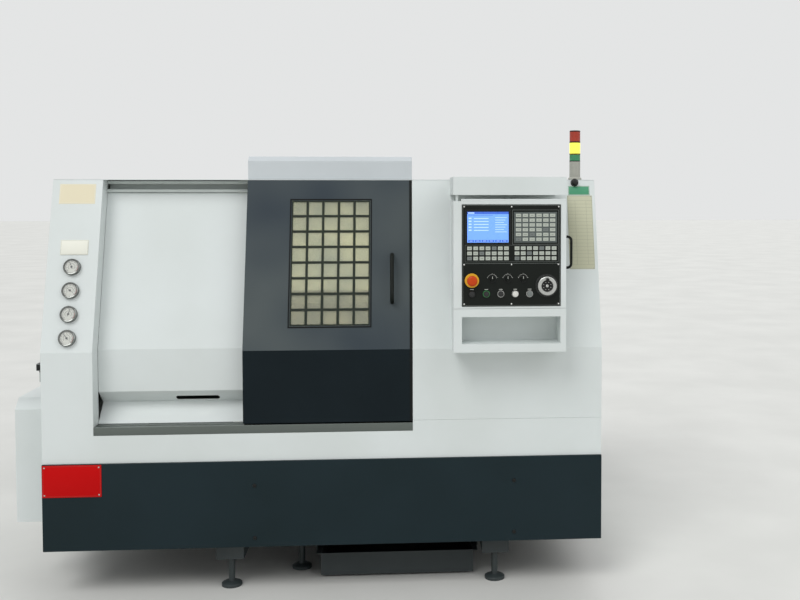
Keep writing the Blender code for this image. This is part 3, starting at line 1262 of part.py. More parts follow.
def make_base():
    top = -BED_DROP
    outline = [(BASE_FRONT, BASE_BOTTOM), (BASE_BACK, BASE_BOTTOM), (BASE_BACK, BASE_SHOULDER),
               (BED_SPINE_Y, BED_SPINE_FOOT)]
    crest = bed_point(BED_HIGH, top)
    outline += [(BED_SPINE_Y - BED_CLEARANCE * 2.0, crest[1]), crest, bed_point(BED_LOW, top),
                (BASE_SHOULDER_Y, BASE_SHOULDER), (BASE_FRONT, BASE_SHOULDER)]
    base = along_x(outline, BASE_LEFT, BASE_RIGHT)
    rails = []
    for middle in TAILSTOCK_RAILS + SADDLE_RAILS:
        half = RAIL_WIDTH / 2.0
        section = [(middle - half, top - SHEET), (middle + half, top - SHEET),
                   (middle + half, top + RAIL_HEIGHT),
                   (middle - half, top + RAIL_HEIGHT)]
        rails.append(along_x(bed_outline(section), RAIL_LEFT, RAIL_RIGHT))
    feet = [(x, FOOT_FRONT_Y) for x in FOOT_FRONT_X] + [(FOOT_MIDDLE_X, FOOT_MIDDLE_Y)]
    feet += [(x, FOOT_BACK_Y) for x in FOOT_BACK_X]
    for x, y in feet:
        pad = [(0.0, 0.0), (FOOT_RADIUS, 0.0), (FOOT_RADIUS, FOOT_PAD * 0.6), (FOOT_RADIUS * 0.6, FOOT_PAD),
               (FOOT_SCREW_RADIUS, FOOT_PAD), (FOOT_SCREW_RADIUS, BASE_BOTTOM + SHEET),
               (0.0, BASE_BOTTOM + SHEET)]
        rails.append(turned(pad[::-1], SMALL_ROUND, Matrix.Translation((x, y, 0.0))))
    for x in FOOT_FRONT_X:
        rails.append(block((x - LUG_HALF_WIDTH, FOOT_FRONT_Y - FOOT_RADIUS, BASE_BOTTOM),
                           (x + LUG_HALF_WIDTH, BASE_FRONT + SHEET, SKIRT_BOTTOM - SEAT)))
    rails += tank_runners()
    join(base, *rails)
    name_part(base, "machine_base", CAST)


def tank_runners():
    """Two angle runners under the base that carry the tank's flanges."""
    flange_bottom = TANK_TOP - RUNNER_THICKNESS
    hook_top = flange_bottom - SEAT
    runners = []
    for side, edge in ((-1.0, TANK_LEFT), (1.0, TANK_RIGHT)):
        web = edge + side * (TANK_FLANGE + RUNNER_PLAY)
        hook = edge + side * RUNNER_PLAY
        web_xs = sorted((web, web + side * RUNNER_THICKNESS))
        hook_xs = sorted((hook, web + side * RUNNER_THICKNESS))
        runners.append(block((web_xs[0], BASE_FRONT, hook_top - RUNNER_THICKNESS / 2.0),
                             (web_xs[1], TANK_BACK, BASE_BOTTOM + SHEET)))
        runners.append(block((hook_xs[0], BASE_FRONT, hook_top - RUNNER_THICKNESS),
                             (hook_xs[1], TANK_BACK, hook_top)))
    return runners


def make_tank():
    add_carrier("coolant_tank", (TANK_LEFT, TANK_FRONT, TANK_BOTTOM))
    tank = block((TANK_LEFT, TANK_FRONT, TANK_BOTTOM), (TANK_RIGHT, TANK_BACK, TANK_TOP))
    open_shell(tank, lambda normal: normal.z > 0.5)
    for edge, side in ((TANK_LEFT, -1.0), (TANK_RIGHT, 1.0)):
        xs = sorted((edge + side * TANK_FLANGE, edge - side * SHEET / 2.0))
        join(tank, block((xs[0], TANK_FRONT, TANK_TOP - RUNNER_THICKNESS), (xs[1], TANK_BACK, TANK_TOP)))
    name_part(tank, "coolant_tank", CAST, "coolant_tank")


def make_liner():
    """The chamber's sheet lining: two end walls, floor, front lip and back wall, welded."""
    above_bed = -BED_DROP + RUNNING
    floor_u = (LINER_FLOOR - SPINDLE_Z - above_bed * math.cos(SLANT)) / math.sin(SLANT)
    low = bed_point(floor_u, above_bed)
    bed_high = bed_point(BED_HIGH, above_bed)
    wall = [(LINER_FRONT, LINER_FLOOR), low, bed_high,
            (LINER_BACK, bed_high[1] + SHEET), (LINER_BACK, LINER_TOP),
            (lean(LINER_TOP) + LINER_FRONT, LINER_TOP),
            (LINER_FRONT, BREAK_HEIGHT)]
    left = along_x(wall, LINER_LEFT, LINER_LEFT + SHEET)
    right = along_x(wall, LINER_RIGHT, LINER_RIGHT + SHEET)
    hole = rod((LINER_LEFT - SHEET, SPINDLE_Y, SPINDLE_Z), (LINER_LEFT + 2.0 * SHEET, SPINDLE_Y, SPINDLE_Z),
               LINER_HOLE_RADIUS, LARGE_ROUND)
    cut(left, hole)
    inside = SHEET / 2.0
    floor = block((LINER_LEFT + inside, LINER_FRONT, LINER_FLOOR),
                  (LINER_RIGHT + inside, low[0], LINER_FLOOR + SHEET))
    lip = block((LINER_LEFT + inside, LINER_FRONT, LINER_FLOOR + inside),
                (LINER_RIGHT + inside, LINER_FRONT + SHEET, TRACK_BOTTOM))
    back = block((LINER_LEFT + inside, LINER_BACK - SHEET, bed_high[1] + 2.0 * SHEET),
                 (LINER_RIGHT + inside, LINER_BACK, LINER_TOP))
    name_part(join(left, floor, lip, back, right), "chamber_liner", WHITE)


def make_headstock():
    foot_v = -BED_DROP + SEAT
    half = HEADSTOCK_FOOT
    waist = HEADSTOCK_RADIUS
    section = [(-half, foot_v), (half, foot_v), (half, foot_v + RAIL_HEIGHT),
               (waist, foot_v + 2.0 * RAIL_HEIGHT)]
    section += arc((0.0, 0.0), HEADSTOCK_RADIUS, 0.0, 180.0, 12)
    section += [(-waist, foot_v + 2.0 * RAIL_HEIGHT), (-half, foot_v + RAIL_HEIGHT)]
    headstock = along_x(bed_outline(section), HEADSTOCK_LEFT, HEADSTOCK_RIGHT)
    axis = ((HEADSTOCK_LEFT - SHEET, SPINDLE_Y, SPINDLE_Z), (HEADSTOCK_RIGHT + SHEET, SPINDLE_Y, SPINDLE_Z))
    cut(headstock, rod(*axis, SPINDLE_RADIUS + RUNNING, LARGE_ROUND))
    name_part(headstock, "headstock", CAST)


ALONG_X = Matrix(((0, 0, 1, 0), (0, 1, 0, 0), (-1, 0, 0, 0), (0, 0, 0, 1)))


def turned_along_x(profile, sides, y, z):
    """A closed (radius, x) profile turned about a line along x."""
    return turned(profile[::-1], sides, Matrix.Translation((0.0, y, z)) @ ALONG_X)


def make_spindle():
    add_carrier("spindle", (SPINDLE_NOSE, SPINDLE_Y, SPINDLE_Z))
    groove, rim = SPINDLE_PULLEY_RADIUS, SPINDLE_PULLEY_RADIUS + PULLEY_RIM_HEIGHT
    profile = [(SPINDLE_BORE, SPINDLE_END), (rim, SPINDLE_END), (rim, PULLEY_LEFT - SEAT),
               (groove, PULLEY_LEFT),
               (groove, PULLEY_RIGHT), (rim, PULLEY_RIGHT + SEAT), (rim, PULLEY_RIGHT + PULLEY_RIM),
               (SPINDLE_TAIL_RADIUS, PULLEY_RIGHT + PULLEY_RIM),
               (SPINDLE_TAIL_RADIUS, HEADSTOCK_LEFT - NOSE_THICKNESS),
               (SPINDLE_RADIUS, HEADSTOCK_LEFT - NOSE_THICKNESS),
               (SPINDLE_RADIUS, SPINDLE_NOSE - NOSE_THICKNESS),
               (NOSE_RADIUS, SPINDLE_NOSE - NOSE_THICKNESS), (NOSE_RADIUS, SPINDLE_NOSE),
               (SPINDLE_BORE, SPINDLE_NOSE)]
    name_part(turned_along_x(profile, LARGE_ROUND, SPINDLE_Y, SPINDLE_Z), "spindle", STEEL, "spindle")
    start = SPINDLE_NOSE + SEAT
    face = start + CHUCK_LENGTH
    chamfer = 0.004
    body = [(SPINDLE_BORE, start), (CHUCK_RADIUS, start), (CHUCK_RADIUS, face - chamfer),
            (CHUCK_RADIUS - chamfer, face), (SPINDLE_BORE, face)]
    chuck = turned_along_x(body, 2 * LARGE_ROUND, SPINDLE_Y, SPINDLE_Z)
    for index in range(JAW_COUNT):
        half = JAW_WIDTH / 2.0 + RUNNING
        slot = block((face - JAW_SINK - RUNNING, -half, JAW_SLOT_END),
                     (face + SHEET, half, CHUCK_RADIUS * 1.2))
        slot.data.transform(jaw_turn(index))
        cut(chuck, slot)
    name_part(chuck, "chuck_body", STEEL, "spindle")
    for index in range(JAW_COUNT):
        carrier = f"jaw_{index + 1}"
        add_carrier(carrier, (face, SPINDLE_Y, SPINDLE_Z), "spindle")
        half = JAW_WIDTH / 2.0
        stop = face - JAW_SINK
        outline = [(stop, JAW_INNER), (stop, JAW_OUTER), (face + JAW_PROUD, JAW_OUTER),
                   (face + JAW_PROUD, JAW_STEP),
                   (face + JAW_TIP, JAW_STEP), (face + JAW_TIP, JAW_INNER)]
        jaw = along_y(outline, -half, half)
        jaw.data.transform(jaw_turn(index))
        name_part(jaw, carrier, STEEL, carrier)


def jaw_turn(index):
    """Turns a jaw that points up into its place round the spindle axis."""
    turn = Matrix.Rotation(2.0 * math.pi * index / JAW_COUNT, 4, "X")
    return Matrix.Translation((0.0, SPINDLE_Y, SPINDLE_Z)) @ turn


def make_drive():
    half = MOTOR_FLANGE_HALF
    motor_profile = [(0.0, MOTOR_LEFT), (MOTOR_RADIUS * 0.92, MOTOR_LEFT), (MOTOR_RADIUS, MOTOR_LEFT + 0.012),
                     (MOTOR_RADIUS, MOTOR_FLANGE_X + SHEET), (0.0, MOTOR_FLANGE_X + SHEET)]
    motor = turned_along_x(motor_profile, LARGE_ROUND, MOTOR_Y, MOTOR_Z)
    flange = block((MOTOR_FLANGE_X, MOTOR_Y - half, MOTOR_SHELF_BOTTOM),
                   (MOTOR_FLANGE_X + MOTOR_FLANGE, MOTOR_Y + half, MOTOR_Z + half))
    shelf = block((MOTOR_FLANGE_X, MOTOR_Y - half, MOTOR_SHELF_BOTTOM),
                  (BASE_LEFT - SEAT, MOTOR_Y + half, MOTOR_SHELF_BOTTOM + MOTOR_SHELF))
    collar_end = PULLEY_LEFT - PULLEY_RIM - RUNNING
    collar = rod((MOTOR_FLANGE_X + SHEET, MOTOR_Y, MOTOR_Z), (collar_end, MOTOR_Y, MOTOR_Z),
                 MOTOR_SHAFT_RADIUS * 1.6, LARGE_ROUND)
    name_part(join(motor, flange, shelf, collar), "spindle_motor", CAST)
    add_carrier("motor_pulley", (PULLEY_LEFT, MOTOR_Y, MOTOR_Z))
    groove, rim = MOTOR_PULLEY_RADIUS, MOTOR_PULLEY_RADIUS + PULLEY_RIM_HEIGHT
    left, right = PULLEY_LEFT - PULLEY_RIM, PULLEY_RIGHT + PULLEY_RIM
    profile = [(0.0, left), (rim, left), (rim, PULLEY_LEFT - SEAT), (groove, PULLEY_LEFT),
               (groove, PULLEY_RIGHT),
               (rim, PULLEY_RIGHT + SEAT), (rim, right), (MOTOR_SHAFT_RADIUS, right),
               (MOTOR_SHAFT_RADIUS, right + PULLEY_RIM), (0.0, right + PULLEY_RIM)]
    name_part(turned_along_x(profile, LARGE_ROUND, MOTOR_Y, MOTOR_Z), "motor_pulley", STEEL, "motor_pulley")
    inner = belt_loop(RUNNING)
    outer = belt_loop(RUNNING + BELT_THICKNESS)
    inset = SHEET / 2.0
    belt = along_x(outer, PULLEY_LEFT + inset, PULLEY_RIGHT - inset)
    cut(belt, along_x(inner, PULLEY_LEFT - inset, PULLEY_RIGHT + inset))
    name_part(belt, "drive_belt", RUBBER)


def belt_loop(lift):
    """The belt's (y, z) loop round both pulleys, lifted off their grooves."""
    small, large = MOTOR_PULLEY_RADIUS + lift, SPINDLE_PULLEY_RADIUS + lift
    run_y, run_z = SPINDLE_Y - MOTOR_Y, SPINDLE_Z - MOTOR_Z
    distance = math.hypot(run_y, run_z)
    heading = math.degrees(math.atan2(run_z, run_y))
    wrap = math.degrees(math.acos((large - small) / distance))
    steps = 16
    upper = arc((SPINDLE_Y, SPINDLE_Z), large, heading - 180.0 + wrap, heading + 180.0 - wrap, steps)
    lower = arc((MOTOR_Y, MOTOR_Z), small, heading + 180.0 - wrap, heading + 180.0 + wrap, steps)
    return upper + lower


def make_saddle():
    add_carrier("saddle", (SADDLE_LEFT, SPINDLE_Y, SPINDLE_Z))
    bottom = -BED_DROP + BED_CLEARANCE
    top = bottom + SADDLE_THICKNESS
    plate = [(SADDLE_LOW, bottom), (SADDLE_HIGH, bottom), (SADDLE_HIGH, top), (SADDLE_LOW, top)]
    saddle = along_x(bed_outline(plate), SADDLE_LEFT, SADDLE_RIGHT)
    grooves = []
    for middle in SADDLE_RAILS:
        half = RAIL_WIDTH / 2.0 + RUNNING
        rail_top = -BED_DROP + RAIL_HEIGHT + SEAT
        section = [(middle - half, bottom - SHEET), (middle + half, bottom - SHEET),
                   (middle + half, rail_top),
                   (middle - half, rail_top)]
        grooves.append(along_x(bed_outline(section), SADDLE_LEFT - SHEET, SADDLE_RIGHT + SHEET))
    name_part(cut(saddle, gather(grooves)), "saddle", CAST, "saddle")
    add_carrier("cross_slide", (CROSS_LEFT, SPINDLE_Y, SPINDLE_Z), "saddle")
    floor = top + SEAT
    deck = floor + CROSS_THICKNESS
    lower, upper = TURRET_U - TURRET_HOUSING_HALF, TURRET_U + TURRET_HOUSING_HALF
    bevel = TURRET_HOUSING_HALF / 3.0
    section = [(CROSS_LOW, floor), (CROSS_HIGH, floor), (CROSS_HIGH, deck), (upper, deck),
               (upper, TURRET_HOUSING_TOP - bevel), (upper - bevel, TURRET_HOUSING_TOP),
               (lower + bevel, TURRET_HOUSING_TOP), (lower, TURRET_HOUSING_TOP - bevel), (lower, deck),
               (CROSS_LOW, deck)]
    slide = along_x(bed_outline(section), CROSS_LEFT, CROSS_RIGHT)
    y, z = bed_point(TURRET_U, 0.0)
    disc_right = TURRET_LEFT + TURRET_THICKNESS
    join(slide, rod((disc_right + SEAT, y, z), (CROSS_LEFT + SHEET, y, z), TURRET_HUB_RADIUS, LARGE_ROUND))
    name_part(slide, "cross_slide", WHITE, "cross_slide")
    make_turret(y, z, disc_right)


def make_turret(y, z, disc_right):
    """An eight-sided tool disc with a holder and a square tool at each station."""
    add_carrier("turret", (TURRET_LEFT, y, z), "cross_slide")
    angles = [2.0 * math.pi * (index + 0.5) / TURRET_STATIONS for index in range(TURRET_STATIONS)]
    corner = TURRET_RADIUS / math.cos(math.pi / TURRET_STATIONS)
    outline = [(corner * math.cos(angle), corner * math.sin(angle)) for angle in angles]
    disc = along_x(outline, TURRET_LEFT, disc_right)
    boss_radius = TURRET_HUB_RADIUS * 0.9
    pieces = [rod((TURRET_LEFT - 2.0 * SHEET, 0.0, 0.0), (TURRET_LEFT + SHEET, 0.0, 0.0), boss_radius,
                  LARGE_ROUND)]
    middle = (TURRET_LEFT + disc_right) / 2.0
    for index in range(TURRET_STATIONS):
        turn = Matrix.Rotation(2.0 * math.pi * index / TURRET_STATIONS, 4, "X")
        half = HOLDER_WIDTH / 2.0
        holder = block((middle - HOLDER_LENGTH / 2.0, -half, TURRET_RADIUS - SHEET),
                       (middle + HOLDER_LENGTH / 2.0, half, HOLDER_REACH))
        tool = block((middle - TOOL_WIDTH / 2.0, -TOOL_WIDTH / 2.0, HOLDER_REACH - SHEET),
                     (middle + TOOL_WIDTH / 2.0, TOOL_WIDTH / 2.0, TOOL_REACH))
        for piece in (holder, tool):
            piece.data.transform(turn)
            pieces.append(piece)
    join(disc, *pieces)
    disc.data.transform(Matrix.Translation((0.0, y, z)) @ Matrix.Rotation(SLANT, 4, "X"))
    name_part(disc, "turret_disc", STEEL, "turret")


def make_tailstock():
    add_carrier("tailstock", (TAILSTOCK_LEFT, SPINDLE_Y, SPINDLE_Z))
    bottom = -BED_DROP + BED_CLEARANCE
    barrel = TAILSTOCK_BARREL
    section = [(TAILSTOCK_LOW, bottom), (TAILSTOCK_HIGH, bottom),
               (TAILSTOCK_HIGH + BED_CLEARANCE, -barrel * 1.7)]
    section += arc((0.0, 0.0), barrel, -30.0, 210.0, 16)
    section += [(-barrel * 1.7, -barrel * 2.0), (TAILSTOCK_LOW, bottom + SADDLE_THICKNESS)]
    stock = along_x(bed_outline(section), TAILSTOCK_LEFT, TAILSTOCK_RIGHT)
    cutting = []
    for middle in TAILSTOCK_RAILS:
        half = RAIL_WIDTH / 2.0 + RUNNING
        rail_top = -BED_DROP + RAIL_HEIGHT + SEAT
        groove = [(middle - half, bottom - SHEET), (middle + half, bottom - SHEET), (middle + half, rail_top),
                  (middle - half, rail_top)]
        cutting.append(along_x(bed_outline(groove), TAILSTOCK_LEFT - SHEET, TAILSTOCK_RIGHT + SHEET))
    bore_end = TAILSTOCK_LEFT + QUILL_DEPTH
    cutting.append(rod((TAILSTOCK_LEFT - SHEET, SPINDLE_Y, SPINDLE_Z), (bore_end, SPINDLE_Y, SPINDLE_Z),
                       QUILL_RADIUS + RUNNING, LARGE_ROUND))
    cut(stock, gather(cutting))
    name_part(stock, "tailstock", CAST, "tailstock")
    add_carrier("quill", (QUILL_LEFT, SPINDLE_Y, SPINDLE_Z), "tailstock")
    end = bore_end - SEAT
    profile = [(0.0, end), (QUILL_RADIUS, end), (QUILL_RADIUS, QUILL_LEFT), (QUILL_RADIUS * 0.6, QUILL_LEFT),
               (QUILL_TIP_RADIUS, QUILL_TIP), (0.0, QUILL_TIP)]
    name_part(turned_along_x(profile[::-1], LARGE_ROUND, SPINDLE_Y, SPINDLE_Z), "tailstock_quill", STEEL,
              "quill")


make_base()
make_tank()
make_skirt()
make_front_panels()
make_fixed_guard()
make_tracks()
make_door()
make_sides()
make_access_door()
make_rear()
make_cabinet_door()
make_roof()
make_motor_cover()
make_gauges()
make_control_housing()
make_swing_box()
make_control_face()
make_controls()
make_tower()
make_liner()
make_headstock()
make_spindle()
make_drive()
make_saddle()
make_tailstock()
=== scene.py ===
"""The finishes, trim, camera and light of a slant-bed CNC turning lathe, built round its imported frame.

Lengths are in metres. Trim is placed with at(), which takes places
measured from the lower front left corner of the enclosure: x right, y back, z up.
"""
import json
import math

import bmesh
import bpy
from mathutils import Matrix, Vector


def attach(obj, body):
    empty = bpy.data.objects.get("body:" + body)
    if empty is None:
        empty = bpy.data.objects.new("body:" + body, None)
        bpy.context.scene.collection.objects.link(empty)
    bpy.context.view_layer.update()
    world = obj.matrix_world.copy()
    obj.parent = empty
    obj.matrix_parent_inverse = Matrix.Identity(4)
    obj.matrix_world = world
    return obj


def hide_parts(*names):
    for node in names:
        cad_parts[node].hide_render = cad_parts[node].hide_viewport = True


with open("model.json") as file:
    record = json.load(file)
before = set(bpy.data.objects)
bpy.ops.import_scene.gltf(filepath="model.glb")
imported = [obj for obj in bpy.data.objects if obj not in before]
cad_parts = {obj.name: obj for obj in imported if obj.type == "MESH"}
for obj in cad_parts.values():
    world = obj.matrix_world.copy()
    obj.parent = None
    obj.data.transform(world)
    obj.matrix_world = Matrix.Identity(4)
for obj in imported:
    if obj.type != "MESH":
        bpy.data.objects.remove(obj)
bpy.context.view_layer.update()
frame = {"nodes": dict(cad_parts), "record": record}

# The middle of the CAD's box, from the enclosure's front left corner
CENTRE_X = 1.120
CENTRE_Y = 0.69965
# The enclosure: its front is upright below the break and leans back above it
BREAK_HEIGHT = 1.059
BODY_TOP = 1.795
BODY_WIDTH = 2.408
BODY_DEPTH = 1.553
DOOR_RIGHT = 1.5745
DOOR_BOTTOM = 0.744
SEAL_WIDTH = 0.011
SKIRT_FRONT = -0.010
LEAN_ANGLE = math.atan2(0.201, 0.736)


def at(x, y, z):
    """The point in the assembly's frame for a place measured from the enclosure's front left corner."""
    return Vector((x - CENTRE_X, y - CENTRE_Y, z))


def srgb(red, green, blue):
    """A linear colour from display values of 0 to 255."""
    def channel(value):
        share = value / 255.0
        return share / 12.92 if share <= 0.04045 else ((share + 0.055) / 1.055) ** 2.4

    return (channel(red), channel(green), channel(blue), 1.0)


# Finishes


def new_material(name):
    """A material with its node tree and shader."""
    material = bpy.data.materials.new(name)
    material.use_nodes = True
    tree = material.node_tree
    return material, tree, tree.nodes["Principled BSDF"]


def add_node(tree, kind, **inputs):
    """A node with values on its inputs, each named with underscores for spaces."""
    node = tree.nodes.new(kind)
    for name, value in inputs.items():
        node.inputs[name.replace("_", " ")].default_value = value
    return node


def noise(tree, scale, detail, stretch=None):
    """Noise over the object's own coordinates, stretched along an axis where asked."""
    place = tree.nodes.new("ShaderNodeTexCoord")
    texture = add_node(tree, "ShaderNodeTexNoise", Scale=scale, Detail=detail)
    if stretch is None:
        tree.links.new(place.outputs["Object"], texture.inputs["Vector"])
        return texture.outputs["Fac"]
    mapping = tree.nodes.new("ShaderNodeMapping")
    mapping.inputs["Scale"].default_value = stretch
    tree.links.new(place.outputs["Object"], mapping.inputs["Vector"])
    tree.links.new(mapping.outputs["Vector"], texture.inputs["Vector"])
    return texture.outputs["Fac"]


def spread(tree, value, low, high):
    """The middle of a noise stretched to the range from low to high."""
    node = tree.nodes.new("ShaderNodeMapRange")
    node.inputs["From Min"].default_value = 0.35
    node.inputs["From Max"].default_value = 0.65
    node.inputs["To Min"].default_value = low
    node.inputs["To Max"].default_value = high
    tree.links.new(value, node.inputs["Value"])
    return node.outputs["Result"]


def blend(tree, share, colour, second):
    """Two colours mixed by a share from 0 to 1."""
    mix = tree.nodes.new("ShaderNodeMix")
    mix.data_type = "RGBA"
    mix.inputs["A"].default_value = colour
    mix.inputs["B"].default_value = second
    tree.links.new(share, mix.inputs["Factor"])
    return mix.outputs["Result"]


def lean_painted_reflection(tree, upright, leaning):
    """The upright colour on upright faces, changing to the lighter leaning ones as a face leans back: a
    painted reflection of the light from above.
    """
    geometry = tree.nodes.new("ShaderNodeNewGeometry")
    split = tree.nodes.new("ShaderNodeSeparateXYZ")
    tree.links.new(geometry.outputs["Normal"], split.inputs["Vector"])
    share = tree.nodes.new("ShaderNodeMapRange")
    share.inputs["From Min"].default_value = 0.02
    share.inputs["From Max"].default_value = math.sin(LEAN_ANGLE)
    tree.links.new(split.outputs["Z"], share.inputs["Value"])
    mix = tree.nodes.new("ShaderNodeMix")
    mix.data_type = "RGBA"
    tree.links.new(upright, mix.inputs["A"])
    tree.links.new(blend(tree, spread(tree, noise(tree, 1.6, 2.0), 0.0, 1.0), *leaning), mix.inputs["B"])
    tree.links.new(share.outputs["Result"], mix.inputs["Factor"])
    return mix.outputs["Result"]


def surface(name, colour, second, roughness, patch=2.5, grain=350.0, depth=0.00015, stretch=None,
            metallic=0.0, coat=0.0, scatter=0.06, shine=0.5, leaning=None):
    """Two close colours in soft patches, uneven gloss and a fine grain; leaning faces can be lighter, a
    painted reflection of the light from above.
    """
    material, tree, shader = new_material(name)
    shader.inputs["Metallic"].default_value = metallic
    shader.inputs["Coat Weight"].default_value = coat
    shader.inputs["Specular IOR Level"].default_value = shine
    colour_out = blend(tree, spread(tree, noise(tree, patch, 5.0, stretch), 0.0, 1.0), colour, second)
    # Leaning faces get lighter colours: a painted reflection of the light from above
    if leaning:
        colour_out = lean_painted_reflection(tree, colour_out, leaning)
    tree.links.new(colour_out, shader.inputs["Base Color"])
    uneven = spread(tree, noise(tree, patch * 4.0, 6.0, stretch), roughness - scatter, roughness + scatter)
    tree.links.new(uneven, shader.inputs["Roughness"])
    bump = add_node(tree, "ShaderNodeBump", Strength=0.6, Distance=depth)
    tree.links.new(noise(tree, grain, 2.0, stretch), bump.inputs["Height"])
    tree.links.new(bump.outputs["Normal"], shader.inputs["Normal"])
    return material


FINISH = {
    "white_paint": surface("white_powder_coat", srgb(217, 223, 222), srgb(211, 217, 215), 0.38),
    "dark_paint": surface("dark_powder_coat", srgb(20, 35, 39), srgb(24, 39, 44), 0.46, shine=0.18),
    # The door's leaning half gets lighter colours: a painted reflection of the light from above
    "door_paint": surface("charcoal_powder_coat_painted_reflection", srgb(13, 24, 29), srgb(17, 28, 33), 0.38, shine=0.14,
                          leaning=(srgb(53, 62, 69), srgb(80, 87, 88))),
    "track_steel": surface("rolled_steel", srgb(128, 136, 130), srgb(96, 102, 99), 0.38, grain=500.0,
                           stretch=(0.05, 1.0, 1.0), metallic=0.8),
    "casting": surface("painted_casting", srgb(46, 54, 55), srgb(40, 47, 48), 0.55, grain=160.0,
                       depth=0.0006),
    "motor_casting": surface("motor_paint", srgb(62, 70, 72), srgb(54, 61, 64), 0.48, grain=180.0),
    "plate_grey": surface("grey_sheet_paint", srgb(112, 119, 119), srgb(104, 110, 111), 0.45),
    "ground_steel": surface("ground_steel", srgb(196, 198, 197), srgb(176, 179, 180), 0.24, grain=900.0,
                            stretch=(0.04, 1.0, 1.0), metallic=1.0),
    "black_plastic": surface("black_moulding", srgb(12, 17, 13), srgb(16, 21, 17), 0.5, grain=900.0,
                             shine=0.2),
    "screen_face": surface("dark_bezel", srgb(12, 15, 16), srgb(16, 19, 20), 0.3, shine=0.3),
    "key_pad": surface("membrane_grey", srgb(84, 92, 90), srgb(78, 86, 84), 0.5),
    "knob_metal": surface("turned_aluminium", srgb(205, 206, 202), srgb(186, 188, 186), 0.3, grain=900.0,
                          metallic=1.0),
    "estop_red": surface("stop_red", srgb(196, 66, 10), srgb(186, 58, 8), 0.35, shine=0.25),
    "tower_grey": surface("tower_moulding", srgb(168, 168, 158), srgb(160, 160, 151), 0.42),
    "lens_green": surface("green_lens", srgb(60, 140, 96), srgb(54, 130, 90), 0.22),
    "lens_yellow": surface("yellow_lens", srgb(238, 234, 98), srgb(232, 224, 84), 0.22),
    "lens_red": surface("red_lens", srgb(170, 56, 32), srgb(158, 48, 28), 0.22),
    "gauge_case": surface("polished_rim", srgb(132, 134, 131), srgb(112, 114, 112), 0.2, metallic=1.0),
    "belt_rubber": surface("belt_rubber", srgb(30, 30, 30), srgb(38, 38, 37), 0.7),
}


def glass_finish():
    """Laminated glass with a warm tint and a thin film of dried coolant."""
    material, tree, shader = new_material("window_glass")
    film = spread(tree, noise(tree, 5.0, 3.0), 0.0, 1.0)
    tree.links.new(blend(tree, film, srgb(240, 238, 210), srgb(206, 210, 194)), shader.inputs["Base Color"])
    shader.inputs["Transmission Weight"].default_value = 0.78
    shader.inputs["IOR"].default_value = 1.45
    tree.links.new(spread(tree, noise(tree, 9.0, 6.0), 0.02, 0.16), shader.inputs["Roughness"])
    return material


FINISH["window_glass"] = glass_finish()

# The slant bed's rails: places along the bed and out of it are measured from the spindle's axis

SPINDLE_Y = 0.500
SPINDLE_Z = 1.050
BED_FOOT = -0.350
BED_SURFACE = -0.2985
SLANT_SHARE = math.sin(math.radians(45.0))


def ground_rails(material):
    """Bare ground steel on the part of the base that stands above the bed."""
    tree = material.node_tree
    shader = tree.nodes["Principled BSDF"]
    place = tree.nodes.new("ShaderNodeTexCoord")
    both = add_node(tree, "ShaderNodeMath")
    both.operation = "MULTIPLY"
    axis_y = SPINDLE_Y - CENTRE_Y
    for index, (share_y, limit) in enumerate(((SLANT_SHARE, BED_FOOT), (-SLANT_SHARE, BED_SURFACE))):
        along = tree.nodes.new("ShaderNodeVectorMath")
        along.operation = "DOT_PRODUCT"
        along.inputs[1].default_value = (0.0, share_y, SLANT_SHARE)
        tree.links.new(place.outputs["Object"], along.inputs[0])
        past = tree.nodes.new("ShaderNodeMath")
        past.operation = "GREATER_THAN"
        past.inputs[1].default_value = limit + share_y * axis_y + SLANT_SHARE * SPINDLE_Z
        tree.links.new(along.outputs["Value"], past.inputs[0])
        tree.links.new(past.outputs["Value"], both.inputs[index])
    for socket, value in (("Base Color", srgb(188, 190, 188)), ("Roughness", 0.26), ("Metallic", 1.0)):
        mix = tree.nodes.new("ShaderNodeMix")
        mix.data_type = "RGBA" if socket == "Base Color" else "FLOAT"
        mix.inputs["B"].default_value = value
        linked = shader.inputs[socket].links
        if linked:
            tree.links.new(linked[0].from_socket, mix.inputs["A"])
        else:
            mix.inputs["A"].default_value = 0.0
        tree.links.new(both.outputs["Value"], mix.inputs["Factor"])
        tree.links.new(mix.outputs["Result"], shader.inputs[socket])
    return material


# Nodes that differ from the others of their slot
OWN_FINISH = {
    "machine_base": ground_rails(surface("bed_casting", srgb(46, 54, 55), srgb(40, 47, 48), 0.55, grain=160.0,
                                         depth=0.0006)),
    "upper_track": surface("track_paint", srgb(205, 212, 209), srgb(197, 204, 201), 0.42),
    # The hood is the white paint made darker: painted shade on its front face
    "roof_hood": surface("hood_white_painted_shade", srgb(200, 206, 209), srgb(194, 200, 203), 0.38),
    "window_grille": surface("grille_paint", srgb(33, 40, 33), srgb(38, 45, 37), 0.45, shine=0.2),
    # The tank's grey is made dark: painted shade for where it stands under the skirt
    "coolant_tank": surface("tank_grey_painted_shade", srgb(56, 62, 63), srgb(50, 56, 57), 0.5, shine=0.3),
}

# Edges of the CAD nodes are rounded by this much, less on the thin nodes and not at all on the plain one
EDGE_ROUNDING = 0.0016
THIN_ROUNDING = 0.0003
WELD_GAP = 0.00002
FLAT_ANGLE = math.radians(0.6)
THIN_NODES = {"door_window", "drive_belt", "roof_panel"}
PLAIN_NODES = {"window_grille"}
# Sheets with a shallow bend, which gets a rounding of its own so that it reads as a crisp line
BENT_NODES = {"door_panel", "fixed_guard", "front_panel_left", "front_panel_right", "chamber_liner"}
CRISP_ANGLE = math.radians(12.0)
ROUNDED_ANGLE = math.radians(32.0)

for part in frame["record"]["subparts"]:
    node = frame["nodes"][part["node"]]
    node.data.materials.clear()
    node.data.materials.append(FINISH[part["material_slot"]])
for name, finish in OWN_FINISH.items():
    frame["nodes"][name].data.materials[0] = finish


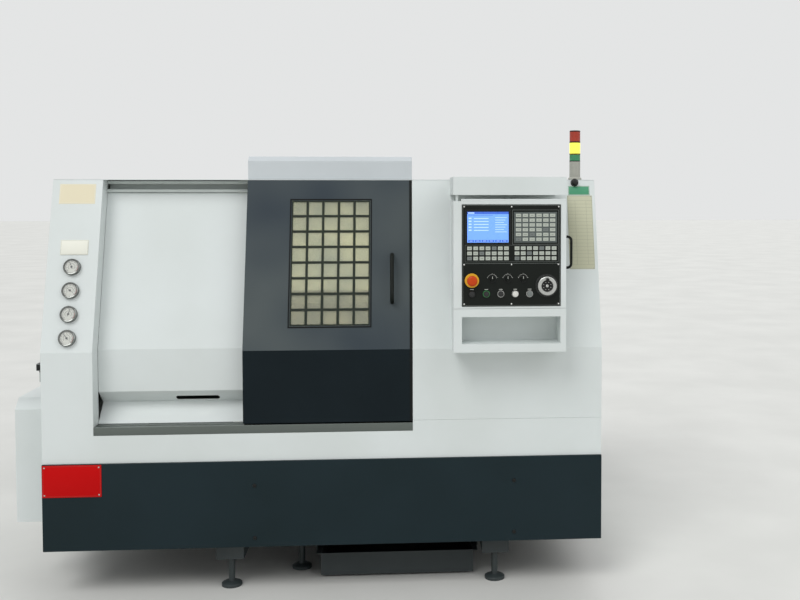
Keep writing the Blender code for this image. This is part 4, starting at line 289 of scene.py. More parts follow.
def soften(node, width, sharpest):
    """Rounded edges on a CAD node, whose facets on one plane are first joined."""
    weld = node.modifiers.new("Weld", "WELD")
    weld.merge_threshold = WELD_GAP
    flat = node.modifiers.new("Flat", "DECIMATE")
    flat.decimate_type = "DISSOLVE"
    flat.angle_limit = FLAT_ANGLE
    split = node.modifiers.new("Split", "TRIANGULATE")
    split.min_vertices = 5
    bevel = node.modifiers.new("Edges", "BEVEL")
    bevel.width = width
    bevel.segments = 2
    bevel.limit_method = "ANGLE"
    bevel.angle_limit = sharpest
    normals = node.modifiers.new("Normals", "WEIGHTED_NORMAL")
    normals.keep_sharp = False


for name, node in frame["nodes"].items():
    if name in PLAIN_NODES:
        continue
    for face in node.data.polygons:
        face.use_smooth = True
    sharpest = CRISP_ANGLE if name in BENT_NODES else ROUNDED_ANGLE
    soften(node, THIN_ROUNDING if name in THIN_NODES else EDGE_ROUNDING, sharpest)

# Trim


def plain(name, colour, roughness, metallic=0.0, alpha=1.0, glow=0.0, shine=0.5):
    """A small even finish for a label, a mark or a clear cover."""
    material, tree, shader = new_material(name)
    shader.inputs["Specular IOR Level"].default_value = shine
    shader.inputs["Base Color"].default_value = colour
    shader.inputs["Metallic"].default_value = metallic
    shader.inputs["Alpha"].default_value = alpha
    if glow:
        shader.inputs["Emission Color"].default_value = colour
        shader.inputs["Emission Strength"].default_value = glow
    tree.links.new(spread(tree, noise(tree, 60.0, 4.0), roughness - 0.04, roughness + 0.04),
                   shader.inputs["Roughness"])
    return material


TRIM = {
    "dial_white": plain("dial_white", srgb(208, 209, 200), 0.5),
    "ink": plain("ink", srgb(24, 25, 25), 0.5),
    "ink_red": plain("ink_red", srgb(176, 34, 26), 0.5),
    "clear": plain("clear_cover", srgb(235, 238, 238), 0.08, alpha=0.16),
    "steel": plain("bright_steel", srgb(198, 199, 196), 0.25, metallic=1.0),
    "black": plain("black_trim", srgb(17, 19, 18), 0.42, shine=0.35),
    "rubber": plain("gasket_rubber", srgb(14, 16, 15), 0.65, shine=0.2),
    "line": plain("panel_line", srgb(116, 122, 118), 0.45),
    "pale": plain("pale_print", srgb(214, 216, 208), 0.45),
    "yellow": plain("stop_collar", srgb(226, 168, 28), 0.38),
    "red_plate": plain("red_plate", srgb(190, 3, 5), 0.45, shine=0.12),
    "green_plate": plain("green_plate", srgb(66, 146, 108), 0.45),
    "beige_plate": plain("beige_plate", srgb(190, 190, 164), 0.5),
    "cream_sticker": plain("cream_sticker", srgb(226, 217, 188), 0.55),
    "white_sticker": plain("white_sticker", srgb(232, 232, 220), 0.55),
    "plate_line": plain("plate_line", srgb(132, 134, 116), 0.5),
    "zinc": plain("zinc_plate", srgb(168, 170, 164), 0.4, metallic=0.7),
    "duct": plain("duct_grey", srgb(138, 142, 142), 0.55),
    "module_grey": plain("module_grey", srgb(176, 178, 172), 0.45),
    "lamp_face": plain("lamp_diffuser", srgb(244, 242, 228), 0.3, glow=2.0),
    "bowl": plain("bowl_plastic", srgb(150, 158, 158), 0.2, alpha=0.55),
    "display": plain("display_blue", srgb(108, 156, 238), 0.3, glow=0.55),
    "display_dark": plain("display_header", srgb(58, 98, 196), 0.3, glow=0.45),
    "display_pale": plain("display_pale", srgb(176, 206, 250), 0.3, glow=0.6),
    "key_cap": plain("key_cap", srgb(178, 184, 174), 0.42),
    "green_cap": plain("green_cap", srgb(58, 132, 74), 0.35),
    "white_cap": plain("white_cap", srgb(218, 218, 212), 0.35),
    "grey_cap": plain("grey_cap", srgb(112, 118, 116), 0.35),
    "black_cap": plain("black_cap", srgb(30, 31, 31), 0.35),
}


def facing(origin, right, up):
    """The matrix of a face: first axis to the right along it, second up it, third out of it."""
    right, up = Vector(right).normalized(), Vector(up).normalized()
    matrix = Matrix((right, up, right.cross(up))).transposed().to_4x4()
    matrix.translation = origin
    return matrix


def lean(z):
    """How far back the leaning front face lies at a height."""
    return max(0.0, z - BREAK_HEIGHT) * math.tan(LEAN_ANGLE)


def upright_face(y):
    """An upright plane at a depth, on which right is x and up is z, from the enclosure's corner."""
    return facing(at(0.0, y, 0.0), (1, 0, 0), (0, 0, 1))


def lean_face(x, z):
    """A place on the leaning front face."""
    return facing(at(x, lean(z), z), (1, 0, 0), (0, math.sin(LEAN_ANGLE), math.cos(LEAN_ANGLE)))


class Shape:
    """Parts of one piece, made in a face's own frame: right, up and out."""

    def __init__(self, matrix):
        self.bm = bmesh.new()
        self.matrix = matrix
        self.finishes = []

    def paint(self, faces, finish):
        """Gives faces a finish, which joins the piece's list at its first use."""
        if finish not in self.finishes:
            self.finishes.append(finish)
        for face in faces:
            face.material_index = self.finishes.index(finish)

    def slab(self, finish, left, right, bottom, top, low, high, edge=0.0):
        """A flat block, its upright and front edges rounded where asked."""
        place = Matrix.Translation(((left + right) / 2.0, (bottom + top) / 2.0, (low + high) / 2.0))
        size = Matrix.Diagonal((right - left, top - bottom, high - low, 1.0))
        before = set(self.bm.faces)
        made = bmesh.ops.create_cube(self.bm, size=1.0, matrix=place @ size)
        if edge:
            edges = {e for v in made["verts"] for e in v.link_edges}
            bmesh.ops.bevel(self.bm, geom=list(edges), offset=edge, segments=2, profile=0.5, affect="EDGES")
        self.paint(set(self.bm.faces) - before, finish)

    def border(self, finish, left, right, bottom, top, wide, low, high):
        """A frame of four flat strips inside the given edges."""
        self.slab(finish, left, right, top - wide, top, low, high)
        self.slab(finish, left, right, bottom, bottom + wide, low, high)
        self.slab(finish, left, left + wide, bottom + wide, top - wide, low, high)
        self.slab(finish, right - wide, right, bottom + wide, top - wide, low, high)

    def turned(self, finish, profile, u=0.0, v=0.0, steps=48, wave=None):
        """A (radius, height) profile turned about the face's normal; wave scales the radius by the angle."""
        rings = []
        for radius, height in profile:
            if radius < 1e-6:
                rings.append([self.bm.verts.new((u, v, height))])
                continue
            ring = []
            for step in range(steps):
                angle = 2.0 * math.pi * step / steps
                reach = radius * (wave(angle) if wave else 1.0)
                ring.append(self.bm.verts.new((u + reach * math.cos(angle), v + reach * math.sin(angle),
                                               height)))
            rings.append(ring)
        faces = []
        for lower, upper in zip(rings, rings[1:]):
            for step in range(steps):
                following = (step + 1) % steps
                if len(lower) == 1 and len(upper) == 1:
                    continue
                if len(lower) == 1:
                    corners = (lower[0], upper[following], upper[step])
                elif len(upper) == 1:
                    corners = (lower[step], lower[following], upper[0])
                else:
                    corners = (lower[step], lower[following], upper[following], upper[step])
                faces.append(self.bm.faces.new(corners))
        self.paint(faces, finish)

    def ray_mark(self, finish, u, v, angle, near, far, wide, low, high):
        """A thin bar that points away from a centre, such as a scale mark."""
        before = set(self.bm.faces)
        place = Matrix.Translation((u, v, (low + high) / 2.0)) @ Matrix.Rotation(angle, 4, "Z")
        place = place @ Matrix.Translation(((near + far) / 2.0, 0.0, 0.0))
        bmesh.ops.create_cube(self.bm, size=1.0,
                              matrix=place @ Matrix.Diagonal((far - near, wide, high - low, 1.0)))
        self.paint(set(self.bm.faces) - before, finish)

    def make(self, name, body, stands_for=(), sharp=35.0):
        """Ends the piece and hangs it on its CAD body."""
        mesh = bpy.data.meshes.new(name)
        bmesh.ops.recalc_face_normals(self.bm, faces=self.bm.faces)
        self.bm.to_mesh(mesh)
        self.bm.free()
        mesh.transform(self.matrix)
        for finish in self.finishes:
            mesh.materials.append(TRIM.get(finish) or FINISH[finish])
        for face in mesh.polygons:
            face.use_smooth = True
        mesh.set_sharp_from_angle(angle=math.radians(sharp))
        piece = bpy.data.objects.new(name, mesh)
        bpy.context.scene.collection.objects.link(piece)
        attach(piece, body)
        if stands_for:
            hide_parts(*stands_for)
        return piece


# Gauges on the left column

GAUGE_COLUMN = 0.109
GAUGE_TOP = 1.416
GAUGE_PITCH = 0.0993
GAUGE_RADIUS = 0.036
GAUGE_WINDOW = 0.0284
GAUGE_START = math.radians(225.0)
GAUGE_SWEEP = math.radians(270.0)
GAUGE_READINGS = (0.42, 0.30, 0.55, 0.36)
DIAL_HEIGHT = 0.0126
DIAL_INK = 0.0128


def add_gauge(number, x, z, reading):
    """A pressure gauge: case, white dial with its scale, needle and clear cover."""
    gauge = Shape(lean_face(x, z))
    gauge.turned("gauge_case",
                 [(0.0, 0.0003), (GAUGE_RADIUS, 0.0003), (GAUGE_RADIUS, 0.013), (0.0345, 0.0165),
                                (0.0320, 0.0180), (0.0292, 0.0172), (GAUGE_WINDOW, 0.0130),
                                (GAUGE_WINDOW, 0.0125)],
                 steps=64)
    gauge.turned("dial_white", [(0.0286, DIAL_HEIGHT), (0.0, DIAL_HEIGHT)], steps=64)
    for mark in range(41):
        long_mark = mark % 5 == 0
        angle = GAUGE_START - GAUGE_SWEEP * mark / 40.0
        near, wide = (0.0195, 0.0013) if long_mark else (0.0220, 0.0006)
        gauge.ray_mark("ink", 0.0, 0.0, angle, near, 0.0258, wide, DIAL_HEIGHT, DIAL_INK)
    for step in range(12):
        angle = GAUGE_START - GAUGE_SWEEP * (0.80 + 0.20 * step / 12.0)
        gauge.ray_mark("ink_red", 0.0, 0.0, angle, 0.0262, 0.0274, 0.0024, DIAL_HEIGHT, DIAL_INK)
    needle = GAUGE_START - GAUGE_SWEEP * reading
    gauge.ray_mark("ink", 0.0, 0.0, needle, -0.0090, 0.0215, 0.0017, 0.0138, 0.0143)
    gauge.turned("ink", [(0.0046, DIAL_INK), (0.0046, 0.0146), (0.0036, 0.0150), (0.0, 0.0150)], steps=24)
    gauge.turned("ink", [(0.0275, 0.0127), (GAUGE_WINDOW, 0.0131)], steps=64)
    for step in range(12):
        angle = GAUGE_START - GAUGE_SWEEP * (step + 0.5) / 12.0
        gauge.ray_mark("ink", 0.0, 0.0, angle, 0.0120, 0.0160, 0.0018, DIAL_HEIGHT, 0.0127)
    gauge.make(f"gauge_{number}_dressed", "frame", (f"gauge_{number}",))
    cover = Shape(lean_face(x, z))
    cover.turned("clear", [(GAUGE_WINDOW, 0.0166), (0.0, 0.0169)], steps=64)
    cover.make(f"gauge_{number}_cover", "frame")


for index, reading in enumerate(GAUGE_READINGS):
    add_gauge(index + 1, GAUGE_COLUMN, GAUGE_TOP - index * GAUGE_PITCH, reading)

# The housing of the control box

HOUSING_LEFT = 1.747
HOUSING_RIGHT = 2.227
HOUSING_FRONT = -0.139
BOX_TOP = 1.7033

# Control face, with what is printed, fixed and turned on it

FACE_FRONT = -0.141
PANEL = upright_face(FACE_FRONT)
STOP_PLACE = (1.825, 1.368)
SELECTOR_XS = (1.911, 1.9765, 2.042)
SELECTOR_Z = 1.375
BUTTON_XS = (1.825, 1.88625, 1.9475, 2.00875, 2.070)
BUTTON_Z = 1.311
BUTTON_CAPS = ("black_cap", "black_cap", "black_cap", "white_cap", "grey_cap")
BUTTON_RINGS = ("black", "green_cap", "steel", "steel", "steel")
WHEEL_PLACE = (2.143, 1.345)


def add_panel_trim():
    """Lines, screws, collars and scales printed or fixed on the control face."""
    trim = Shape(PANEL)
    trim.border("line", 1.7865, 2.1995, 1.2615, 1.6855, 0.0010, 0.0, 0.0003)
    trim.slab("line", 1.7875, 2.1985, 1.4395, 1.4405, 0.0, 0.0003)
    trim.border("black", 1.7960, 1.9900, 1.5190, 1.6680, 0.0055, 0.0, 0.0022)
    trim.border("line", 1.9965, 2.1930, 1.5205, 1.6665, 0.0010, 0.0, 0.0003)
    trim.border("line", 1.7960, 2.1930, 1.4465, 1.5175, 0.0008, 0.0, 0.0003)
    for x in (1.7925, 1.9930, 2.1935):
        for z in (1.2680, 1.4350, 1.6795):
            trim.turned("steel", [(0.0032, 0.0), (0.0032, 0.0008), (0.0022, 0.0015), (0.0, 0.0016)], x, z, 20)
    x, z = STOP_PLACE
    trim.turned("yellow",
                [(0.0302, 0.0), (0.0302, 0.0040), (0.0286, 0.0058), (0.0190, 0.0060), (0.0180, 0.0052),
                           (0.0180, 0.0)], x, z, 56)
    for x in SELECTOR_XS:
        trim.turned("black", [(0.0165, 0.0), (0.0165, 0.0010), (0.0155, 0.0018), (0.0136, 0.0018)], x,
                    SELECTOR_Z, 40)
        for step in range(11):
            far = 0.0225 if step % 5 == 0 else 0.0208
            trim.ray_mark("pale", x, SELECTOR_Z, math.radians(15.0 + 15.0 * step), 0.0180, far, 0.0013, 0.0,
                          0.0004)
    for x, ring in zip(BUTTON_XS, BUTTON_RINGS):
        trim.turned(ring,
                    [(0.0150, 0.0), (0.0150, 0.0012), (0.0142, 0.0022), (0.0124, 0.0022), (0.0120, 0.0)],
                    x, BUTTON_Z, 40)
        trim.slab("pale", x - 0.0075, x + 0.0075, BUTTON_Z + 0.0185, BUTTON_Z + 0.0205, 0.0, 0.0003)
    x, z = WHEEL_PLACE
    trim.turned("black", [(0.0490, 0.0), (0.0490, 0.0012), (0.0480, 0.0020), (0.0405, 0.0020)], x, z, 72)
    for step in range(50):
        near = 0.0425 if step % 5 else 0.0415
        trim.ray_mark("line", x, z, 2.0 * math.pi * step / 50.0, near, 0.0465, 0.0006, 0.0020, 0.0022)
    trim.make("panel_trim", "control_box")


def add_display():
    """The lit screen, with plain blocks and lines and no words."""
    display = Shape(PANEL)
    left, right, bottom, top = 1.8055, 1.9805, 1.5285, 1.6585
    # Heights from the control face, all behind it, in the screen's recess
    lit, low_mark, mark, high_mark = -0.0010, -0.0009, -0.0008, -0.0007
    display.slab("display", left, right, bottom, top, -0.0019, lit)
    display.slab("display_dark", left, right, top - 0.0100, top, lit, mark)
    display.slab("display_pale", left + 0.0040, left + 0.0300, top - 0.0075, top - 0.0030, mark, high_mark)
    display.slab("display_dark", left + 0.0040, left + 0.1080, top - 0.0165, top - 0.0150, lit, low_mark)
    for row in range(5):
        z = top - 0.0300 - row * 0.0125
        display.slab("display_pale", left + 0.0060, left + 0.0180, z, z + 0.0050, lit, low_mark)
        display.slab("display_pale", left + 0.0280, left + 0.0900, z, z + 0.0032, lit, low_mark)
    for row in range(7):
        z = top - 0.0260 - row * 0.0100
        display.slab("display_pale", left + 0.1180, right - 0.0080 - 0.0060 * (row % 3), z, z + 0.0022,
                     lit, low_mark)
    for column in range(6):
        x = left + 0.0040 + column * 0.0285
        display.slab("display_dark", x, x + 0.0245, bottom + 0.0025, bottom + 0.0110, lit, mark)
        display.slab("display_pale", x + 0.0060, x + 0.0185, bottom + 0.0058, bottom + 0.0076, mark,
                     high_mark)
    display.make("screen_picture", "control_box")


def add_stop():
    """The mushroom head of the emergency stop, in its CAD node's place."""
    x, z = STOP_PLACE
    stop = Shape(PANEL)
    foot = 0.0093
    stop.turned("estop_red", [(0.0, foot - 0.0180), (0.0090, foot - 0.0180), (0.0090, foot), (0.0130, foot),
                              (0.0135, foot + 0.0080), (0.0160, foot + 0.0115), (0.0214, foot + 0.0140),
                              (0.0220, foot + 0.0165), (0.0218, foot + 0.0200), (0.0195, foot + 0.0232),
                              (0.0140, foot + 0.0253), (0.0070, foot + 0.0259),
                              (0.0, foot + 0.0260)], x, z, 56)
    stop.make("stop_head", "estop", ("estop_button",), sharp=50.0)


def add_selectors():
    """The white pointer on each selector's lever."""
    for index, x in enumerate(SELECTOR_XS):
        pointer = Shape(PANEL)
        pointer.slab("pale", x - 0.0008, x + 0.0008, SELECTOR_Z + 0.0010, SELECTOR_Z + 0.0115, 0.0150, 0.0165)
        pointer.make(f"selector_{index + 1}_pointer", f"selector_{index + 1}")


def add_button_caps():
    """The domed coloured cap of each push button."""
    for index, (x, cap) in enumerate(zip(BUTTON_XS, BUTTON_CAPS)):
        button = Shape(PANEL)
        top = 0.0033 + 0.0090
        button.turned(cap,
                      [(0.0117, 0.0036), (0.0117, top - 0.0014), (0.0108, top - 0.0002),
                       (0.0095, top + 0.0002),
                            (0.0, top + 0.0008)], x, BUTTON_Z, 40)
        button.make(f"push_button_{index + 1}_cap", f"push_button_{index + 1}")


def add_wheel():
    """The handwheel with its fluted rim, dark middle and spinning grip, in its CAD node's place."""
    x, z = WHEEL_PLACE
    wheel = Shape(PANEL)

    def flutes(angle):
        return 1.0 - 0.012 * (0.5 + 0.5 * math.cos(48.0 * angle))

    wheel.turned("knob_metal", [(0.0385, 0.0024), (0.0400, 0.0034), (0.0400, 0.0180)], x, z, 240, flutes)
    wheel.turned("knob_metal", [(0.0396, 0.0180), (0.0396, 0.0200), (0.0372, 0.0220), (0.0255, 0.0220),
                                (0.0232, 0.0172)], x, z, 96)
    wheel.turned("black", [(0.0234, 0.0173), (0.0, 0.0173)], x, z, 64)
    for step in range(8):
        angle = 2.0 * math.pi * (step + 0.5) / 8.0
        wheel.turned("steel", [(0.0016, 0.0173), (0.0016, 0.0178), (0.0, 0.0180)],
                     x + 0.0165 * math.cos(angle), z + 0.0165 * math.sin(angle), 16)
    wheel.turned("steel", [(0.0060, 0.0173), (0.0060, 0.0186), (0.0050, 0.0194), (0.0, 0.0196)], x, z, 32)
    grip = z + 0.028
    wheel.turned("black",
                 [(0.0046, 0.0215), (0.0058, 0.0240), (0.0064, 0.0330), (0.0064, 0.0420), (0.0052, 0.0452),
                           (0.0, 0.0460)], x, grip, 32)
    wheel.turned("knob_metal", [(0.0, -0.0180), (0.0090, -0.0180), (0.0090, 0.0030)], x, z, 32)
    wheel.make("handwheel_dressed", "handwheel", ("handwheel",))


add_panel_trim()
add_display()
add_stop()
add_selectors()
add_button_caps()
add_wheel()

# Bare plates, stickers and small fixings: places are x and z on the front

HEADER_PLACE = (2.335, 1.7485)
TABLE_PLACE = (2.335, 1.558)
CREAM_STICKER_PLACE = (0.109, 1.7335)
WHITE_STICKER_PLACE = (0.112, 1.501)
TABLE_ROWS = 19
TABLE_ROW_PITCH = 0.0165
SKIRT_SCREW_XS = (0.893, 2.019)
SKIRT_SCREW_ZS = (0.476, 0.247)
WINDOW_PLACE = (1.216, 1.4315)
WINDOW_HALF_WIDTH = 0.1760
WINDOW_HALF_HEIGHT = 0.2845
GLAND_PLACE = (2.316, 1.7835)


def add_plates():
    """Blank plates where the photo has labels."""
    plate = Shape(lean_face(*HEADER_PLACE))
    plate.slab("green_plate", -0.0485, 0.0485, -0.0215, 0.0215, 0.0, 0.0012, 0.0004)
    plate.border("pale", -0.0470, 0.0470, -0.0200, 0.0200, 0.0012, 0.0012, 0.0014)
    plate.make("green_header_plate", "frame")
    plate = Shape(lean_face(*TABLE_PLACE))
    plate.slab("beige_plate", -0.0550, 0.0590, -0.1670, 0.1740, 0.0, 0.0010, 0.0004)
    plate.border("plate_line", -0.0530, 0.0570, -0.1650, 0.1720, 0.0008, 0.0010, 0.0012)
    for row in range(TABLE_ROWS):
        v = 0.1500 - row * TABLE_ROW_PITCH
        plate.slab("plate_line", -0.0520, 0.0560, v, v + 0.0006, 0.0010, 0.0012)
    for u in (-0.0200, 0.0300):
        plate.slab("plate_line", u, u + 0.0006, -0.1470, 0.1500, 0.0010, 0.0012)
    for u in (-0.0500, 0.0540):
        for v in (-0.1620, 0.1690):
            plate.turned("steel", [(0.0022, 0.0010), (0.0020, 0.0018), (0.0, 0.0021)], u, v, 16)
    plate.make("beige_table_plate", "frame")
    sticker = Shape(lean_face(*CREAM_STICKER_PLACE))
    sticker.slab("cream_sticker", -0.0770, 0.0770, -0.0450, 0.0450, 0.0, 0.0006)
    sticker.border("white_sticker", -0.0740, 0.0740, -0.0420, 0.0420, 0.0010, 0.0006, 0.0007)
    sticker.make("cream_sticker", "frame")
    sticker = Shape(lean_face(*WHITE_STICKER_PLACE))
    sticker.slab("white_sticker", -0.0590, 0.0590, -0.0330, 0.0330, 0.0, 0.0030, 0.0008)
    sticker.border("plate_line", -0.0570, 0.0570, -0.0310, 0.0310, 0.0006, 0.0030, 0.0031)
    sticker.make("white_sticker", "frame")
    red = Shape(upright_face(SKIRT_FRONT))
    red.slab("red_plate", 0.0020, 0.2490, 0.4410, 0.5790, 0.0, 0.0020, 0.0006)
    red.border("ink_red", 0.0060, 0.2450, 0.4450, 0.5750, 0.0016, 0.0020, 0.0023)
    for x in (0.0120, 0.2390):
        for z in (0.4510, 0.5690):
            red.turned("steel", [(0.0034, 0.0020), (0.0032, 0.0030), (0.0, 0.0034)], x, z, 20)
    red.make("red_corner_plate", "frame")


def add_box_lip():
    """The strip along the top of the swinging box that closes most of the gap under the visor."""
    lip = Shape(upright_face(HOUSING_FRONT))
    lip.slab("white_paint", HOUSING_LEFT + 0.0330, HOUSING_RIGHT - 0.0010, BOX_TOP, BOX_TOP + 0.0090, -0.0160,
             0.0,
             0.0008)
    lip.make("box_top_lip", "control_box")


def add_skirt_screws():
    """Socket screws that hold the skirt."""
    screws = Shape(upright_face(SKIRT_FRONT))
    for x in SKIRT_SCREW_XS:
        for z in SKIRT_SCREW_ZS:
            screws.turned("black", [(0.0085, 0.0), (0.0085, 0.0010), (0.0068, 0.0036), (0.0034, 0.0042),
                                    (0.0030, 0.0020), (0.0, 0.0020)], x, z, 28)
    screws.make("skirt_screws", "frame")


def add_sheet_screws():
    """Button-head screws along the edges of the rear sheet and of the left side sheet."""
    low, high, inset = 0.237, 1.765, 0.030
    top_front = 0.340
    rows = [low + (high - low) * step / 5.0 for step in range(6)]
    faces = {
        "rear_sheet_screws": (facing(at(BODY_WIDTH, BODY_DEPTH, 0.0), (-1, 0, 0), (0, 0, 1)),
                              [(u, v) for u in (inset, BODY_WIDTH - inset) for v in rows]
                              + [(inset + (BODY_WIDTH - 2.0 * inset) * step / 8.0, v)
                                 for step in range(1, 8) for v in (low, high)]),
        "side_sheet_screws": (facing(at(0.0, BODY_DEPTH, 0.0), (0, -1, 0), (0, 0, 1)),
                              [(inset, v) for v in rows]
                              + [(inset + (BODY_DEPTH - inset - top_front) * step / 4.0, high)
                                 for step in range(1, 5)]),
    }
    for name, (place, spots) in faces.items():
        screws = Shape(place)
        for u, v in spots:
            screws.turned("steel", [(0.0060, 0.0), (0.0058, 0.0012), (0.0043, 0.0028), (0.0023, 0.0032),
                                    (0.0019, 0.0017), (0.0, 0.0017)], u, v, 20)
        screws.make(name, "frame")


def add_window_gasket():
    """The rubber strip round the window, on the leaning half of the door."""
    gasket = Shape(lean_face(*WINDOW_PLACE))
    for grow, low, high in ((0.0048, 0.0, 0.0018), (0.0030, 0.0018, 0.0028)):
        gasket.border("rubber", -WINDOW_HALF_WIDTH - grow, WINDOW_HALF_WIDTH + grow,
                      -WINDOW_HALF_HEIGHT - grow,
                      WINDOW_HALF_HEIGHT + grow, grow, low, high)
    gasket.make("window_gasket", "door")


def add_door_seal():
    """The rubber strip down the door's closing edge, in two lengths that meet at the bend."""
    lengths = {
        "lower": (facing(at(DOOR_RIGHT, 0.0, DOOR_BOTTOM), (1, 0, 0), (0, 0, 1)), BREAK_HEIGHT - DOOR_BOTTOM),
        "upper": (lean_face(DOOR_RIGHT, BREAK_HEIGHT), (BODY_TOP - BREAK_HEIGHT) / math.cos(LEAN_ANGLE)),
    }
    for name, (place, length) in lengths.items():
        strip = Shape(place)
        strip.slab("rubber", -SEAL_WIDTH, -0.0004, 0.0, length, -0.0010, 0.0010)
        strip.make("door_seal_" + name, "door")


def add_tower_gland():
    """The black gland of the tower's cable, at the top of the face."""
    gland = Shape(lean_face(*GLAND_PLACE))
    gland.turned("black",
                 [(0.0175, 0.0), (0.0175, 0.0050), (0.0150, 0.0062), (0.0165, 0.0100), (0.0160, 0.0165),
                           (0.0110, 0.0225), (0.0, 0.0245)], steps=40)
    gland.make("tower_gland", "frame")


add_plates()
add_box_lip()
add_skirt_screws()
add_sheet_screws()
add_window_gasket()
add_door_seal()
add_tower_gland()

# Inside the electrical cabinet: places are from its left end as seen from behind, and its floor

CABINET_NEAR = 2.100
CABINET_FLOOR = 0.650
CABINET_INNER = 1.3092


def add_cabinet_fittings():
    """Mounting plate, slotted ducts, drives, contactors and breakers, all plain."""
    # Fronts of what is mounted, from the back of the plate
    plate, rail, duct, drive, contactor = 0.002, 0.012, 0.050, 0.130, 0.085
    inside = Shape(facing(at(CABINET_NEAR, CABINET_INNER, CABINET_FLOOR), (-1, 0, 0), (0, 0, 1)))
    inside.slab("zinc", 0.040, 1.060, 0.040, 0.960, 0.0, plate)
    for bottom in (0.050, 0.290, 0.540, 0.870):
        inside.slab("duct", 0.110, 0.990, bottom, bottom + duct, plate, duct, 0.0015)
        # The slots of the ducts are dark marks on their front: painted shade inside the openings
        for step in range(40):
            u = 0.120 + step * 0.0220
            for low, high in ((0.002, 0.012), (0.038, 0.048)):
                inside.slab("ink", u, u + 0.006, bottom + low, bottom + high, duct, 0.0503)
    for left in (0.050, 1.000):
        inside.slab("duct", left, left + duct, 0.050, 0.920, plate, duct, 0.0015)
    for unit in range(4):
        left = 0.150 + unit * 0.195
        inside.slab("module_grey", left, left + 0.150, 0.620, 0.840, plate, drive, 0.0030)
        inside.slab("black", left + 0.012, left + 0.138, 0.640, 0.740, drive, 0.1325, 0.0010)
        inside.slab("display_dark" if unit == 0 else "ink", left + 0.030, left + 0.080, 0.785, 0.815, drive,
                    0.1310)
        for fin in range(7):
            u = left + 0.020 + fin * 0.018
            inside.slab("ink", u, u + 0.008, 0.650, 0.730, 0.1325, 0.1330)
    inside.slab("steel", 0.130, 0.970, 0.4220, 0.4570, plate, rail)
    for unit in range(14):
        left = 0.140 + unit * 0.058
        inside.slab("black_cap", left, left + 0.046, 0.395, 0.485, rail, contactor, 0.0020)
        inside.slab("pale", left + 0.012, left + 0.034, 0.425, 0.450, contactor, 0.0865, 0.0006)
        for pin in range(3):
            u = left + 0.010 + pin * 0.013
            for v in (0.473, 0.407):
                inside.turned("steel", [(0.0036, contactor), (0.0036, 0.0860), (0.0, 0.0865)], u, v, 12)
    inside.slab("steel", 0.130, 0.970, 0.1770, 0.2120, plate, rail)
    for unit in range(20):
        left = 0.140 + unit * 0.020
        inside.slab("module_grey", left, left + 0.0185, 0.150, 0.235, rail, 0.070, 0.0012)
        inside.slab("black_cap", left + 0.005, left + 0.0135, 0.182, 0.202, 0.070, 0.078, 0.0010)
    for unit in range(44):
        left = 0.570 + unit * 0.0088
        inside.slab("beige_plate" if unit % 9 else "green_cap", left, left + 0.0080, 0.165, 0.225, rail,
                    0.048)
    inside.make("cabinet_fittings", "frame")


add_cabinet_fittings()

# Work lamp of the chamber

LAMP_LEFT = 1.000
LAMP_RIGHT = 1.420
LAMP_FRONT = 0.385
LAMP_DEPTH = 0.050
LAMP_TOP = 1.7790
LAMP_HEIGHT = 0.030
LAMP_STRIP = 0.03
LAMP_POWER = 6.0
LAMP_COLOUR = (1.0, 0.95, 0.80)


def add_work_lamp():
    """A flat lamp under the chamber's roof, with the light it gives."""
    middle = (LAMP_LEFT + LAMP_RIGHT) / 2.0
    half = (LAMP_RIGHT - LAMP_LEFT) / 2.0
    lamp = Shape(facing(at(middle, LAMP_FRONT + LAMP_DEPTH / 2.0, LAMP_TOP), (1, 0, 0), (0, -1, 0)))
    lamp.slab("plate_grey", -half, half, -LAMP_DEPTH / 2.0, LAMP_DEPTH / 2.0, 0.0, LAMP_HEIGHT, 0.0030)
    lamp.slab("lamp_face", 0.012 - half, half - 0.012, -0.018, 0.018, LAMP_HEIGHT, LAMP_HEIGHT + 0.0015,
              0.0005)
    lamp.make("work_lamp", "frame")
    light = bpy.data.lights.new("work_light", "AREA")
    light.shape = "RECTANGLE"
    light.size = 2.0 * half - LAMP_STRIP
    light.size_y = LAMP_STRIP
    light.energy = LAMP_POWER
    light.color = LAMP_COLOUR
    source = bpy.data.objects.new("work_light", light)
    source.location = at(middle, LAMP_FRONT + LAMP_DEPTH / 2.0, LAMP_TOP - LAMP_HEIGHT - 0.004)
    bpy.context.scene.collection.objects.link(source)


add_work_lamp()

# Keys, latches, air unit and signal tower

KEY_GAP = 0.005
KEY_GRIDS = ((2.008, 2.182, 1.532, 1.653, 6, 6, 0.0),
             (1.802, 1.984, 1.451, 1.515, 7, 3, 0.0012),
             (2.003, 2.187, 1.451, 1.515, 7, 3, 0.0012))


SIDE_LATCH_PLACE = (-0.006, 0.980)
SIDE_LATCH_ZS = (0.995, 1.535)
REAR_LATCH_PLACE = (2.050, 1.5793)
REAR_LATCH_ZS = (0.8167, 1.4833)
AIR_UNIT_PLACE = (-0.035, 0.180)
AIR_UNIT_FOOT = 0.9644
AIR_UNIT_TOP = 0.9956
AIR_DIAL_PLACE = (-0.0566, 0.145, 0.980)
BOWL_OFFSET = 0.035


